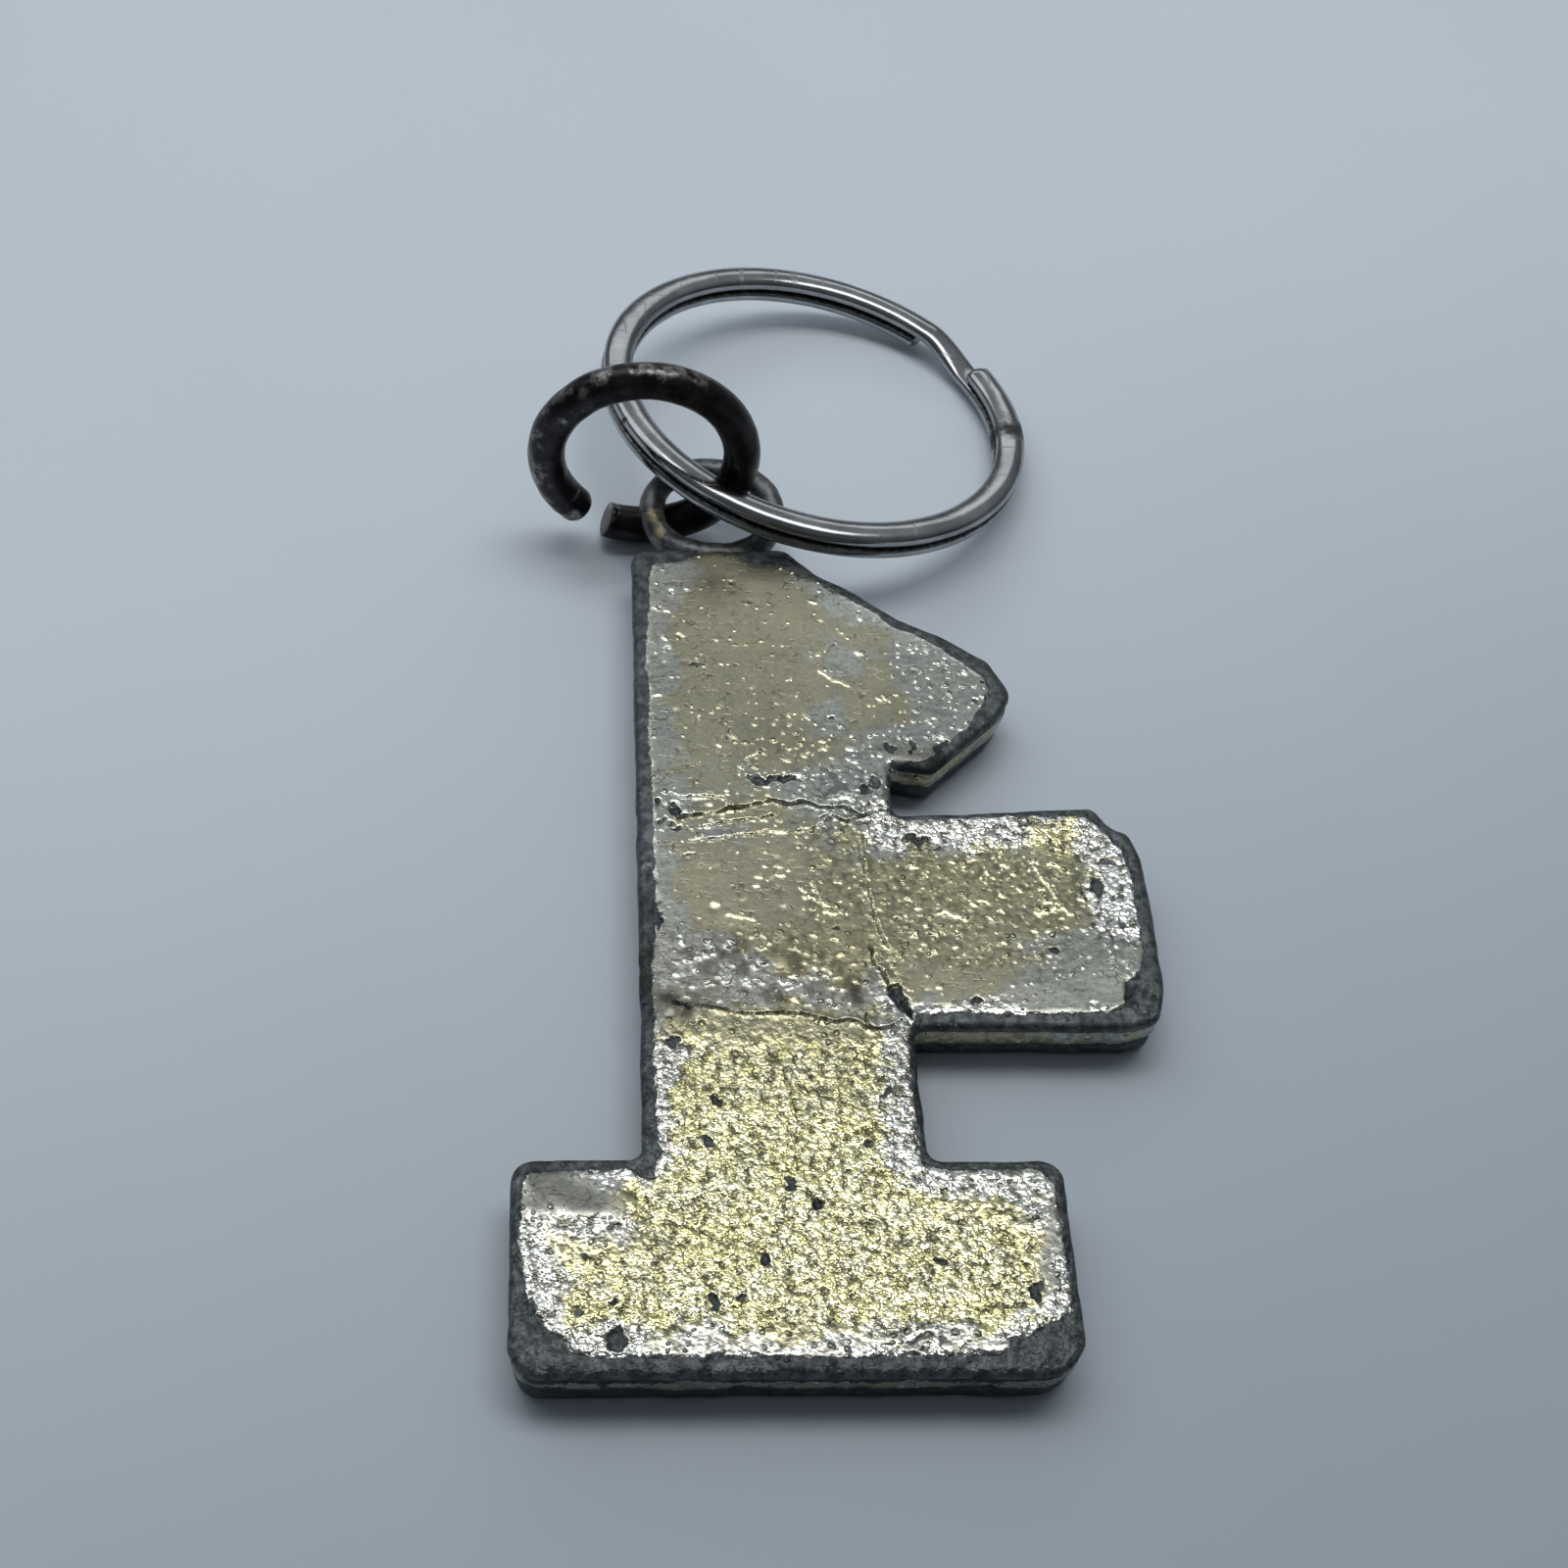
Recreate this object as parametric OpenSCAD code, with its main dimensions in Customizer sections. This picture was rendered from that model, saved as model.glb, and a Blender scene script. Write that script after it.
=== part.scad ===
// Keychain with a cast charm in the shape of a numeral one. The charm lies on
// its front face, so the back of the numeral is up and the figure reads
// mirrored. Its cast eyelet carries an open jump ring, and the jump ring
// carries a two-turn split ring for keys.
// Frame: +Z up, +Y along the stem towards the eyelet. The origin is in the
// middle of the numeral, on the face that it rests on. Millimetres.

/* [Numeral casting] */
// Thickness of the casting
casting_t = 3.2; // [2.8:0.1:3.3]
// Length of the numeral, without its eyelet
numeral_l = 49.9; // [48:0.1:52]
// Width of the stem
stem_w = 13.3; // [12.4:0.1:14]
// Width of the foot slab across the bottom
foot_w = 25.4; // [22:0.1:28]
// Height of the foot slab, along the stem
foot_h = 10.9; // [9:0.1:12]
// How far the arm stands out from the stem
arm_reach = 12.45; // [9:0.05:14]
// Height of the arm, along the stem
arm_h = 13.4; // [11:0.1:14]
// How far the flag's point stands out from the stem
flag_reach = 6.85; // [5:0.05:8]
// Rounding of the rim of both faces
rim_r = 0.7; // [0.4:0.1:0.9]
// Depth of the border line cut into the front face
border_d = 0.35; // [0.1:0.05:0.5]

/* [Eyelet] */
// Thickness of the eyelet's limb
eyelet_limb_d = 1.5; // [1.3:0.05:1.5]
// Bend radius of the eyelet's ends, at the middle of the limb
eyelet_bend_r = 2.9; // [2.9:0.05:3.1]
// Length of the straight between the two bends
eyelet_straight = 0.9; // [0.9:0.1:2.0]
// Angle at which the eyelet stands up from the back face
eyelet_lift = 10; // [10:0.5:12]

/* [Jump ring] */
// Diameter of the jump ring at the middle of its wire
jump_d = 10.66; // [10.6:0.02:10.72]
// Diameter of the jump ring's wire
jump_wire_d = 2.08; // [1.9:0.02:2.08]
// Opening between the two ends of the wire, as an angle
jump_gap = 22; // [14:1:30]

/* [Split ring] */
// Outside diameter of the split ring
split_od = 25; // [24.8:0.05:25]
// Width of the flattened wire, across the ring
split_w = 1.7; // [1.6:0.05:1.9]
// Thickness of one turn of the wire
split_t = 0.88; // [0.7:0.02:0.88]
// Air between the two turns
split_air = 0.04; // [0.02:0.01:0.06]

/* [Hidden] */
$fn = 64;

sx = stem_w / 2;                 // half the stem
top = numeral_l / 2;             // upper end of the numeral
bot = -numeral_l / 2;            // lower end of the numeral
fx = foot_w / 2;                 // half the foot
foot_y = bot + foot_h;           // upper edge of the foot
arm_x = sx + arm_reach;          // end of the arm
arm_y = 6.6;                     // upper edge of the arm
flag_x = sx + flag_reach;        // point of the flag

// Outline of the numeral, clockwise: x, y and the radius of each corner.
OUTLINE = [
    [-sx, top, 0.9],
    [1.6, top, 1.2],
    [flag_x - 1.15, 16.75, 1.2],
    [flag_x, 14.0, 1.2],
    [8.55, 9.05, 0.6],
    [sx, 9.3, 0.25],
    [sx, arm_y - 0.25, 0.25],
    [arm_x - 1.8, arm_y + 0.3, 0.9],
    [arm_x - 0.15, arm_y - 1.7, 1.2],
    [arm_x, -0.5, 1.5],
    [arm_x - 0.2, arm_y - arm_h + 2.0, 1.2],
    [arm_x - 1.2, arm_y - arm_h + 0.3, 0.9],
    [sx, arm_y - arm_h - 0.05, 0.25],
    [sx, foot_y, 0.6],
    [fx + 0.15, foot_y, 1.2],
    [fx + 0.15, bot, 1.5],
    [-fx + 0.15, bot, 1.5],
    [-fx + 0.15, foot_y, 1.2],
    [-sx, foot_y, 0.5]
];

function unit(v) = v / norm(v);
// Left-hand normal of an edge, which points inward on a clockwise outline
// when it is taken with the minus sign.
function inward(a, b) = let (u = unit(b - a)) [u[1], -u[0]];
function cross2(a, b) = a[0] * b[1] - a[1] * b[0];
function meet(p, u, q, v) = p + u * (cross2(q - p, v) / cross2(u, v));

// The outline moved inward by d, each corner where its two edges now meet.
function shrunk(d) = [
    for (i = [0 : len(OUTLINE) - 1])
        let (n = len(OUTLINE),
             a = [OUTLINE[(i + n - 1) % n][0], OUTLINE[(i + n - 1) % n][1]],
             b = [OUTLINE[i][0], OUTLINE[i][1]],
             c = [OUTLINE[(i + 1) % n][0], OUTLINE[(i + 1) % n][1]],
             m = meet(b + d * inward(a, b), b - a, b + d * inward(b, c), c - b),
             convex = cross2(b - a, c - b) < 0,
             r = convex ? max(OUTLINE[i][2] - d, 0.12) : OUTLINE[i][2] + d)
            [m[0], m[1], r]
];

// Points of a corner's arc, which touches both of its edges.
function corner(a, b, c, r, k = 4) =
    let (u = unit(a - b), v = unit(c - b),
         half = acos(max(-1, min(1, u * v))) / 2,
         t = min(r / tan(half), 0.45 * norm(a - b), 0.45 * norm(c - b)),
         rr = t * tan(half),
         o = b + unit(u + v) * (rr / sin(half)),
         p = b + u * t, q = b + v * t,
         a0 = atan2(p[1] - o[1], p[0] - o[0]),
         a1 = atan2(q[1] - o[1], q[0] - o[0]),
         sweep = ((a1 - a0 + 540) % 360) - 180)
        [for (j = [0 : k]) o + rr * [cos(a0 + sweep * j / k), sin(a0 + sweep * j / k)]];

function rounded(L) = [
    for (i = [0 : len(L) - 1])
        let (n = len(L), a = L[(i + n - 1) % n], b = L[i], c = L[(i + 1) % n])
            each corner([a[0], a[1]], [b[0], b[1]], [c[0], c[1]], b[2])
];

// A layer of the numeral between two heights, set in from the outline by d.
module layer(z0, z1, d) {
    translate([0, 0, z0]) linear_extrude(z1 - z0) polygon(rounded(shrunk(d)));
}

// The rim of each face is rounded in steps that follow a quarter circle.
RIM_STEPS = 3;
module numeral_casting() {
    color([0.62, 0.58, 0.42]) difference() {
        union() {
            layer(rim_r, casting_t - rim_r, 0);
            for (i = [1 : RIM_STEPS])
                let (z = rim_r * sin(90 * i / RIM_STEPS),
                     d = rim_r * (1 - cos(90 * (i - 0.5) / RIM_STEPS)))
                    layer(rim_r - z, casting_t - rim_r + z, d);
        }
        // border line on the front face
        difference() {
            layer(-0.2, border_d, 1.5);
            layer(-0.3, border_d + 0.1, 2.1);
        }
    }
}

// The eyelet is a loop of round section with two straight runs. Its lower run
// is sunk into the upper edge of the numeral, and it leans up off the face.
eyelet_x = eyelet_bend_r + eyelet_straight / 2 - 5.4; // middle of the eyelet
eyelet_root_z = 2.5;             // height of the limb at the numeral's edge
eyelet_mid_y = 2.75;             // middle of the eyelet, above the edge
module eyelet() {
    color([0.42, 0.42, 0.40])
    translate([eyelet_x, top - 0.05, eyelet_root_z]) rotate([eyelet_lift, 0, 0])
    translate([0, eyelet_mid_y, 0]) {
        for (s = [-1, 1]) {
            translate([s * eyelet_straight / 2, 0, 0])
                rotate([0, 0, s > 0 ? -90 : 90])
                    rotate_extrude(angle = 180)
                        translate([eyelet_bend_r, 0]) circle(d = eyelet_limb_d, $fn = 40);
            translate([-eyelet_straight / 2, s * eyelet_bend_r, 0]) rotate([0, 90, 0])
                cylinder(d = eyelet_limb_d, h = eyelet_straight, $fn = 40);
        }
    }
}

// The jump ring stands up with its lowest point under the eyelet's left limb.
// Angles are counted from its lowest point towards +X.
jump_y = 28.48;                  // plane of the ring
jump_x = -5.95;                  // middle of the ring
jump_z = 0.03 + jump_wire_d / 2 + jump_d / 2;
jump_cut = -21;                  // the end that was cut square
jump_worn = jump_cut - jump_gap; // where the worn end starts to round off
module jump_ring() {
    color([0.16, 0.15, 0.15])
    translate([jump_x, jump_y, jump_z]) rotate([90, 0, 0]) {
        rotate([0, 0, -90 + jump_cut])
            rotate_extrude(angle = 360 - jump_gap)
                translate([jump_d / 2, 0]) circle(d = jump_wire_d, $fn = 40);
        // the worn end tapers to a blunt nose
        rotate([0, 0, -90 + jump_worn]) translate([jump_d / 2, 0, 0]) rotate([-90, 0, 0]) {
            translate([0, 0, -0.1])
                cylinder(d1 = jump_wire_d * 0.98, d2 = jump_wire_d * 0.82, h = 0.55, $fn = 40);
            translate([0, 0, 0.45])
                cylinder(d1 = jump_wire_d * 0.82, d2 = jump_wire_d * 0.45, h = 0.3, $fn = 40);
        }
    }
}

// The split ring is one flattened wire wound nearly two turns. It goes
// clockwise on the upper level from end A, steps down past both ends, and goes
// round again on the lower level to end B.
split_c = [4.14, 36.3, 3.25];     // middle of the ring
split_n = unit([0.17, 0.088, 0.98]); // normal of the ring
split_end_a = 27;
split_step_from = -311;
split_step_to = -330.5;
split_end_b = -669;
split_step = 5.8;
split_r = split_od / 2 - split_w / 2;
level = (split_t + split_air) / 2;
SECTION = let (w = split_w / 2, t = split_t / 2, c = 0.34)
    [[w, -t + c], [w, t - c], [w - c, t], [-w + c, t], [-w, t - c], [-w, -t + c], [-w + c, -t], [w - c, -t]];

function smooth(x) = let (s = max(0, min(1, x))) s * s * (3 - 2 * s);
function height(a) = level * (1 - 2 * smooth((a - split_step_from) / (split_step_to - split_step_from)));
split_turns = round((split_end_a - split_end_b) / split_step);
SPLIT_ANGLES = [for (i = [0 : split_turns]) split_end_a + (split_end_b - split_end_a) * i / split_turns];
SPLIT_POINTS = [
    for (a = SPLIT_ANGLES) for (p = SECTION)
        [(split_r + p[0]) * cos(a), (split_r + p[0]) * sin(a), height(a) + p[1]]
];
SPLIT_FACES = let (m = len(SECTION), n = len(SPLIT_ANGLES)) concat(
    [[for (j = [0 : m - 1]) j]],
    [for (i = [0 : n - 2]) for (j = [0 : m - 1])
        [i * m + j, (i + 1) * m + j, (i + 1) * m + (j + 1) % m, i * m + (j + 1) % m]],
    [[for (j = [m - 1 : -1 : 0]) (n - 1) * m + j]]
);
module split_ring() {
    u = unit([1, 0, -split_n[0] / split_n[2]]);
    v = cross(split_n, u);
    color([0.72, 0.72, 0.70])
    multmatrix([
        [u[0], v[0], split_n[0], split_c[0]],
        [u[1], v[1], split_n[1], split_c[1]],
        [u[2], v[2], split_n[2], split_c[2]],
        [0, 0, 0, 1]
    ])
        polyhedron(SPLIT_POINTS, SPLIT_FACES, convexity = 6);
}

numeral_casting();
eyelet();
jump_ring();
split_ring();
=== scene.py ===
import bpy
import numpy as np
from math import sin, cos, tan, radians, degrees, pi, sqrt, atan2, acos
from mathutils import Vector, Matrix
from mathutils.geometry import delaunay_2d_cdt


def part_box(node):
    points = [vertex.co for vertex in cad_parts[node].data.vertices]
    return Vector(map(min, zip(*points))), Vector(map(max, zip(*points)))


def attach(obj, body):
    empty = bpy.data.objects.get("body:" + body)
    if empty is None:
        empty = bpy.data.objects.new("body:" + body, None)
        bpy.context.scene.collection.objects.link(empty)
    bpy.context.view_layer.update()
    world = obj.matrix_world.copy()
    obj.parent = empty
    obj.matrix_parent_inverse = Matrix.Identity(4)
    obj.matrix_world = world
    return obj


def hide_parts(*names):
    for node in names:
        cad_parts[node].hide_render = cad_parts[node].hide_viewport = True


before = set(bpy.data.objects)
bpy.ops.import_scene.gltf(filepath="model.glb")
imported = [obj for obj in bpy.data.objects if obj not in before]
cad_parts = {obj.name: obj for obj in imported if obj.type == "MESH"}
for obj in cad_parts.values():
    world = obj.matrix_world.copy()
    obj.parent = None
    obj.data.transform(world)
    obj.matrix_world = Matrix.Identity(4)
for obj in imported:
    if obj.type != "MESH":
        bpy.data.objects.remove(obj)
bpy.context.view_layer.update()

MM = 0.001
scene = bpy.context.scene

# ---------------------------------------------------------------- frame, mm
def box_mm(node):
    lo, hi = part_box(node)
    return np.array(lo) / MM, np.array(hi) / MM

num_lo, num_hi = box_mm("numeral_casting")
eye_lo, eye_hi = box_mm("eyelet")
jmp_lo, jmp_hi = box_mm("jump_ring")
spl_lo, spl_hi = box_mm("split_ring")
T = float(num_hi[2])                       # thickness of the casting
TOP, BOT = float(num_hi[1]), float(num_lo[1])
jump_c = (jmp_lo + jmp_hi) / 2
split_c = (spl_lo + spl_hi) / 2

# ---------------------------------------------------------------- noise
def _hash(ix, iy, iz, seed):
    n = (ix * 374761393 + iy * 668265263 + iz * 1103515245 + seed * 974634777) & 0xffffffff
    n = ((n ^ (n >> 13)) * 1274126177) & 0xffffffff
    n = (n ^ (n >> 16)) & 0xffffff
    return n / float(0xffffff)

def vnoise(p, size, seed=0):
    """Smooth noise in -1..1 at points p (n,3) in mm, with features of that size."""
    q = np.asarray(p, float) / size + 100.37 * (seed + 1)
    i = np.floor(q).astype(np.int64)
    f = q - i
    f = f * f * f * (f * (f * 6 - 15) + 10)
    out = np.zeros(len(q))
    for dx in (0, 1):
        wx = f[:, 0] if dx else 1 - f[:, 0]
        for dy in (0, 1):
            wy = f[:, 1] if dy else 1 - f[:, 1]
            for dz in (0, 1):
                wz = f[:, 2] if dz else 1 - f[:, 2]
                out += wx * wy * wz * _hash(i[:, 0] + dx, i[:, 1] + dy, i[:, 2] + dz, seed)
    return out * 2 - 1

def fbm(p, size, octaves=4, seed=0, gain=0.5):
    out, a, tot = 0, 1.0, 0
    for o in range(octaves):
        out = out + a * vnoise(p, size / 2 ** o, seed + 7 * o)
        tot += a
        a *= gain
    return out / tot

def cells(p, size, seed=0):
    """Distance to the nearest scattered point, in cell sizes, and that cell's own number 0..1 (2D)."""
    q = np.asarray(p, float)[:, :2] / size
    i = np.floor(q).astype(np.int64)
    best = np.full(len(q), 9.0)
    own = np.zeros(len(q))
    z = np.zeros(len(q), np.int64)
    for dx in (-1, 0, 1):
        for dy in (-1, 0, 1):
            cx, cy = i[:, 0] + dx, i[:, 1] + dy
            px = cx + _hash(cx, cy, z, seed)
            py = cy + _hash(cx, cy, z + 1, seed)
            d = np.hypot(px - q[:, 0], py - q[:, 1])
            near = d < best
            best = np.where(near, d, best)
            own = np.where(near, _hash(cx, cy, z + 2, seed), own)
    return best, own

def smooth(a, b, x):
    t = np.clip((np.asarray(x, float) - a) / (b - a), 0, 1)
    return t * t * (3 - 2 * t)

# ---------------------------------------------------------------- 2D helpers
def seg_dist(P, A, B, chunk=2500):
    """Least distance from each P to the segments A-B."""
    P = np.asarray(P, np.float32); A = np.asarray(A, np.float32); B = np.asarray(B, np.float32)
    D = B - A
    L = np.maximum((D * D).sum(1), 1e-12)
    out = np.empty(len(P), np.float32)
    for k in range(0, len(P), chunk):
        p = P[k:k + chunk]
        rx = p[:, None, 0] - A[None, :, 0]
        ry = p[:, None, 1] - A[None, :, 1]
        t = np.clip((rx * D[:, 0] + ry * D[:, 1]) / L, 0, 1)
        rx -= t * D[:, 0]
        ry -= t * D[:, 1]
        out[k:k + chunk] = np.sqrt((rx * rx + ry * ry).min(1))
    return out.astype(float)

def inside(P, poly):
    P = np.asarray(P, float); poly = np.asarray(poly, float)
    x, y = P[:, 0], P[:, 1]
    c = np.zeros(len(P), bool)
    n = len(poly)
    for i in range(n):
        x0, y0 = poly[i]; x1, y1 = poly[(i + 1) % n]
        if y0 == y1:
            continue
        hit = (y0 > y) != (y1 > y)
        c ^= hit & (x < (x1 - x0) * (y - y0) / (y1 - y0) + x0)
    return c

def signed(P, poly):
    poly = np.asarray(poly, float)
    d = seg_dist(P, poly, np.roll(poly, -1, 0))
    return np.where(inside(P, poly), d, -d)

def path_dist(P, pts):
    pts = np.asarray(pts, float)
    return seg_dist(P, pts[:-1], pts[1:])

# ---------------------------------------------------------------- outline
# Corners of the numeral, clockwise: x, y in mm and corner radius.
CORNERS = [
    (-6.62, 24.5, 1.0), (-4.2, 24.8, 1.0), (-3.2, 24.98, 1.0), (1.85, 25.0, 1.0), (3.6, 23.1, 1.6),
    (5.7, 21.8, 2.2), (7.65, 20.0, 2.0), (10.0, 18.75, 2.2), (12.45, 17.0, 1.5),
    (13.5, 14.6, 1.25), (12.6, 13.0, 1.6), (10.65, 11.0, 1.6), (8.75, 9.1, 0.8),
    (7.5, 9.3, 0.4), (6.6, 9.45, 0.3), (6.55, 6.38, 0.3),
    (10.0, 6.52, 3.0), (14.0, 6.86, 3.0), (16.9, 7.0, 0.85), (17.42, 5.9, 0.45),
    (17.75, 5.55, 0.3), (18.45, 5.3, 0.8), (18.95, 3.7, 1.2), (19.08, 0.0, 3.0),
    (19.0, -4.3, 1.6), (18.5, -6.25, 1.0), (17.0, -6.72, 1.2),
    (6.55, -6.75, 0.5), (6.5, -9.0, 2.0), (6.62, -11.5, 2.5), (6.65, -13.88, 0.55),
    (12.8, -13.9, 1.2), (12.82, -24.85, 2.1), (-12.53, -24.85, 1.7),
    (-12.5, -13.9, 1.15), (-6.62, -13.88, 0.6), (-6.6, 0.0, 4.0), (-6.62, 12.0, 4.0),
]

def corner_arc(a, b, c, r, k):
    a, b, c = np.array(a), np.array(b), np.array(c)
    u = (a - b) / np.linalg.norm(a - b); v = (c - b) / np.linalg.norm(c - b)
    half = acos(max(-1, min(1, float(u @ v)))) / 2
    if half > pi / 2 - 0.01:
        return [tuple(b)]
    t = min(r / tan(half), 0.45 * np.linalg.norm(a - b), 0.45 * np.linalg.norm(c - b))
    rr = t * tan(half)
    w = (u + v) / np.linalg.norm(u + v)
    o = b + w * rr / sin(half)
    p, q = b + u * t, b + v * t
    a0, a1 = atan2(*(p - o)[::-1]), atan2(*(q - o)[::-1])
    s = (a1 - a0 + 3 * pi) % (2 * pi) - pi
    return [(o[0] + rr * cos(a0 + s * j / k), o[1] + rr * sin(a0 + s * j / k)) for j in range(k + 1)]

def make_outline(step):
    n = len(CORNERS)
    pts = []
    for i in range(n):
        a, b, c = CORNERS[(i - 1) % n], CORNERS[i], CORNERS[(i + 1) % n]
        pts += corner_arc(a[:2], b[:2], c[:2], b[2], 14)
    pts = np.array(pts)[::-1]                      # counter-clockwise
    seg = np.linalg.norm(np.roll(pts, -1, 0) - pts, axis=1)
    s = np.concatenate([[0], np.cumsum(seg)])
    m = int(s[-1] / step)
    at = np.arange(m) * s[-1] / m
    closed = np.vstack([pts, pts[:1]])
    out = np.stack([np.interp(at, s, closed[:, 0]), np.interp(at, s, closed[:, 1])], 1)
    nrm = normals2(out)
    p3 = np.column_stack([out, np.zeros(m)])
    wob = 0.055 * vnoise(p3, 2.6, 3) + 0.030 * vnoise(p3, 0.9, 4)
    out = out - nrm * (0.06 + wob)[:, None] * 0.9
    return out

def normals2(loop):
    d = np.roll(loop, -1, 0) - np.roll(loop, 1, 0)
    d /= np.linalg.norm(d, axis=1)[:, None]
    return np.stack([d[:, 1], -d[:, 0]], 1)        # outward on a counter-clockwise loop

RING = make_outline(0.165)
RN = normals2(RING)
for _ in range(6):
    RN = RN + np.roll(RN, 1, 0) + np.roll(RN, -1, 0)
    RN /= np.linalg.norm(RN, axis=1)[:, None]

def radius_limit(loop, span=5):
    """How far each outline point can move inward before neighbours cross, on convex stretches."""
    a, b, c = np.roll(loop, span, 0), loop, np.roll(loop, -span, 0)
    u, v = b - a, c - b
    cr = u[:, 0] * v[:, 1] - u[:, 1] * v[:, 0]
    ang = np.arctan2(cr, (u * v).sum(1))
    L = (np.linalg.norm(u, axis=1) + np.linalg.norm(v, axis=1)) / 2
    r = np.where(ang > 1e-3, L / np.maximum(ang, 1e-3), 50.0)
    for s in range(1, 7):
        r = np.minimum(r, np.minimum(np.roll(r, s), np.roll(r, -s)))
    return r * 0.8

RLIM = radius_limit(RING)

def inset(d):
    return RING - RN * np.minimum(d, RLIM)[:, None]

# ---------------------------------------------------------------- what is where on the back face, mm
PLATE = [(-5.5, 23.4), (-4.2, 23.6), (-3.0, 24.1), (-2.0, 24.45), (-1.0, 24.35), (-0.4, 23.8), (0.2, 23.5), (1.7, 23.5),
         (2.9, 22.8), (4.0, 21.95), (5.2, 21.1), (6.5, 20.1), (7.3, 19.15), (8.6, 18.5), (9.8, 17.6), (11.0, 16.5),
         (11.95, 15.7), (12.1, 14.7), (11.7, 13.5), (11.0, 12.5), (10.0, 11.3), (9.0, 10.25), (8.4, 9.75), (6.9, 9.6),
         (6.3, 8.5), (6.3, 6.2), (7.0, 5.75), (9.0, 5.85), (12.0, 6.05), (14.0, 6.15), (16.3, 6.1), (17.1, 5.1),
         (17.85, 4.0), (18.15, 2.0), (18.1, 0.0), (18.1, -2.0), (17.9, -3.4), (17.0, -4.1), (16.85, -5.3), (16.0, -5.85),
         (12.0, -5.95), (9.0, -5.9), (6.75, -6.0), (6.2, -7.2), (6.05, -9.0), (6.1, -11.0), (6.15, -13.0), (6.3, -14.3),
         (7.5, -14.6), (11.5, -14.55), (12.2, -15.3), (12.3, -18.0), (12.3, -21.7), (11.1, -22.4), (10.0, -23.2),
         (8.8, -23.85), (3.0, -23.95), (-3.0, -23.9), (-8.4, -23.9), (-9.7, -23.7), (-10.2, -22.9), (-11.0, -22.3),
         (-11.5, -21.4), (-11.8, -20.0), (-12.05, -18.2), (-11.95, -15.5), (-11.6, -14.75), (-7.2, -14.6), (-6.1, -15.2),
         (-5.75, -13.8), (-5.85, -12.0), (-5.95, -9.0), (-5.9, -6.0), (-6.0, -4.0), (-5.8, -2.0), (-5.65, 0.0), (-5.75, 2.0),
         (-5.75, 4.0), (-5.7, 6.0), (-5.75, 8.0), (-5.85, 10.0), (-5.85, 12.0), (-5.75, 14.0), (-5.95, 16.0),
         (-5.85, 18.0), (-5.7, 20.0), (-5.7, 22.0)]
GOLD = [
    [(-3.0, 24.9), (-0.5, 24.9), (1.2, 23.9), (2.2, 22.6), (3.0, 21.6), (3.6, 20.4), (5.6, 19.6), (6.9, 18.9), (7.3, 17.5),
     (7.5, 15.5), (7.8, 13.6), (8.0, 12.4), (6.4, 12.0), (4.4, 11.2), (4.0, 9.6), (2.6, 9.2), (-0.6, 8.9), (-0.6, 7.3),
     (4.6, 4.8), (5.0, 1.0), (4.8, -2.6), (3.8, -4.9), (1.6, -4.2), (0.2, -3.2), (-1.8, -2.3), (-3.6, -0.9), (-4.8, 0.6), (-4.8, 5.2), (-3.9, 6.6), (-5.3, 7.4), (-5.3, 9.2),
     (-4.2, 10.0), (-4.2, 12.4), (-5.2, 13.2), (-5.2, 14.2), (-4.5, 14.6), (-4.4, 17.4), (-5.2, 18.0), (-5.0, 19.8),
     (-4.0, 20.8), (-3.2, 22.2)],
    [(-4.9, -5.6), (4.9, -5.6), (5.0, -9.0), (4.6, -12.0), (5.2, -15.5), (6.0, -16.0), (11.2, -16.2), (11.4, -22.2),
     (9.0, -22.5), (0.0, -23.3), (-3.0, -23.2), (-3.4, -22.5), (-9.8, -22.2), (-10.0, -20.3), (-10.8, -19.0), (-10.2, -18.2),
     (-7.6, -17.9), (-7.3, -16.0), (-6.0, -15.4), (-4.9, -14.0), (-5.0, -10.0)],
    [(3.4, 3.5), (6.3, 3.8), (8.2, 4.2), (12.8, 4.3), (13.3, 5.8), (15.6, 6.0), (16.0, 5.0), (15.6, 3.5), (15.8, 0.2), (15.7, -1.0),
     (13.2, -1.6), (12.5, -3.3), (12.0, -4.6), (10.8, -5.2), (6.8, -5.4), (5.4, -4.4), (3.4, -2.6), (2.9, 0.5)],
]
SILVER_SPOTS = [(4.3, 17.0, 1.3, 1.2), (3.7, 12.7, 1.0, 1.0), (0.5, 8.3, 2.2, 0.7), (-2.0, 4.9, 2.2, 0.35)]

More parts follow.
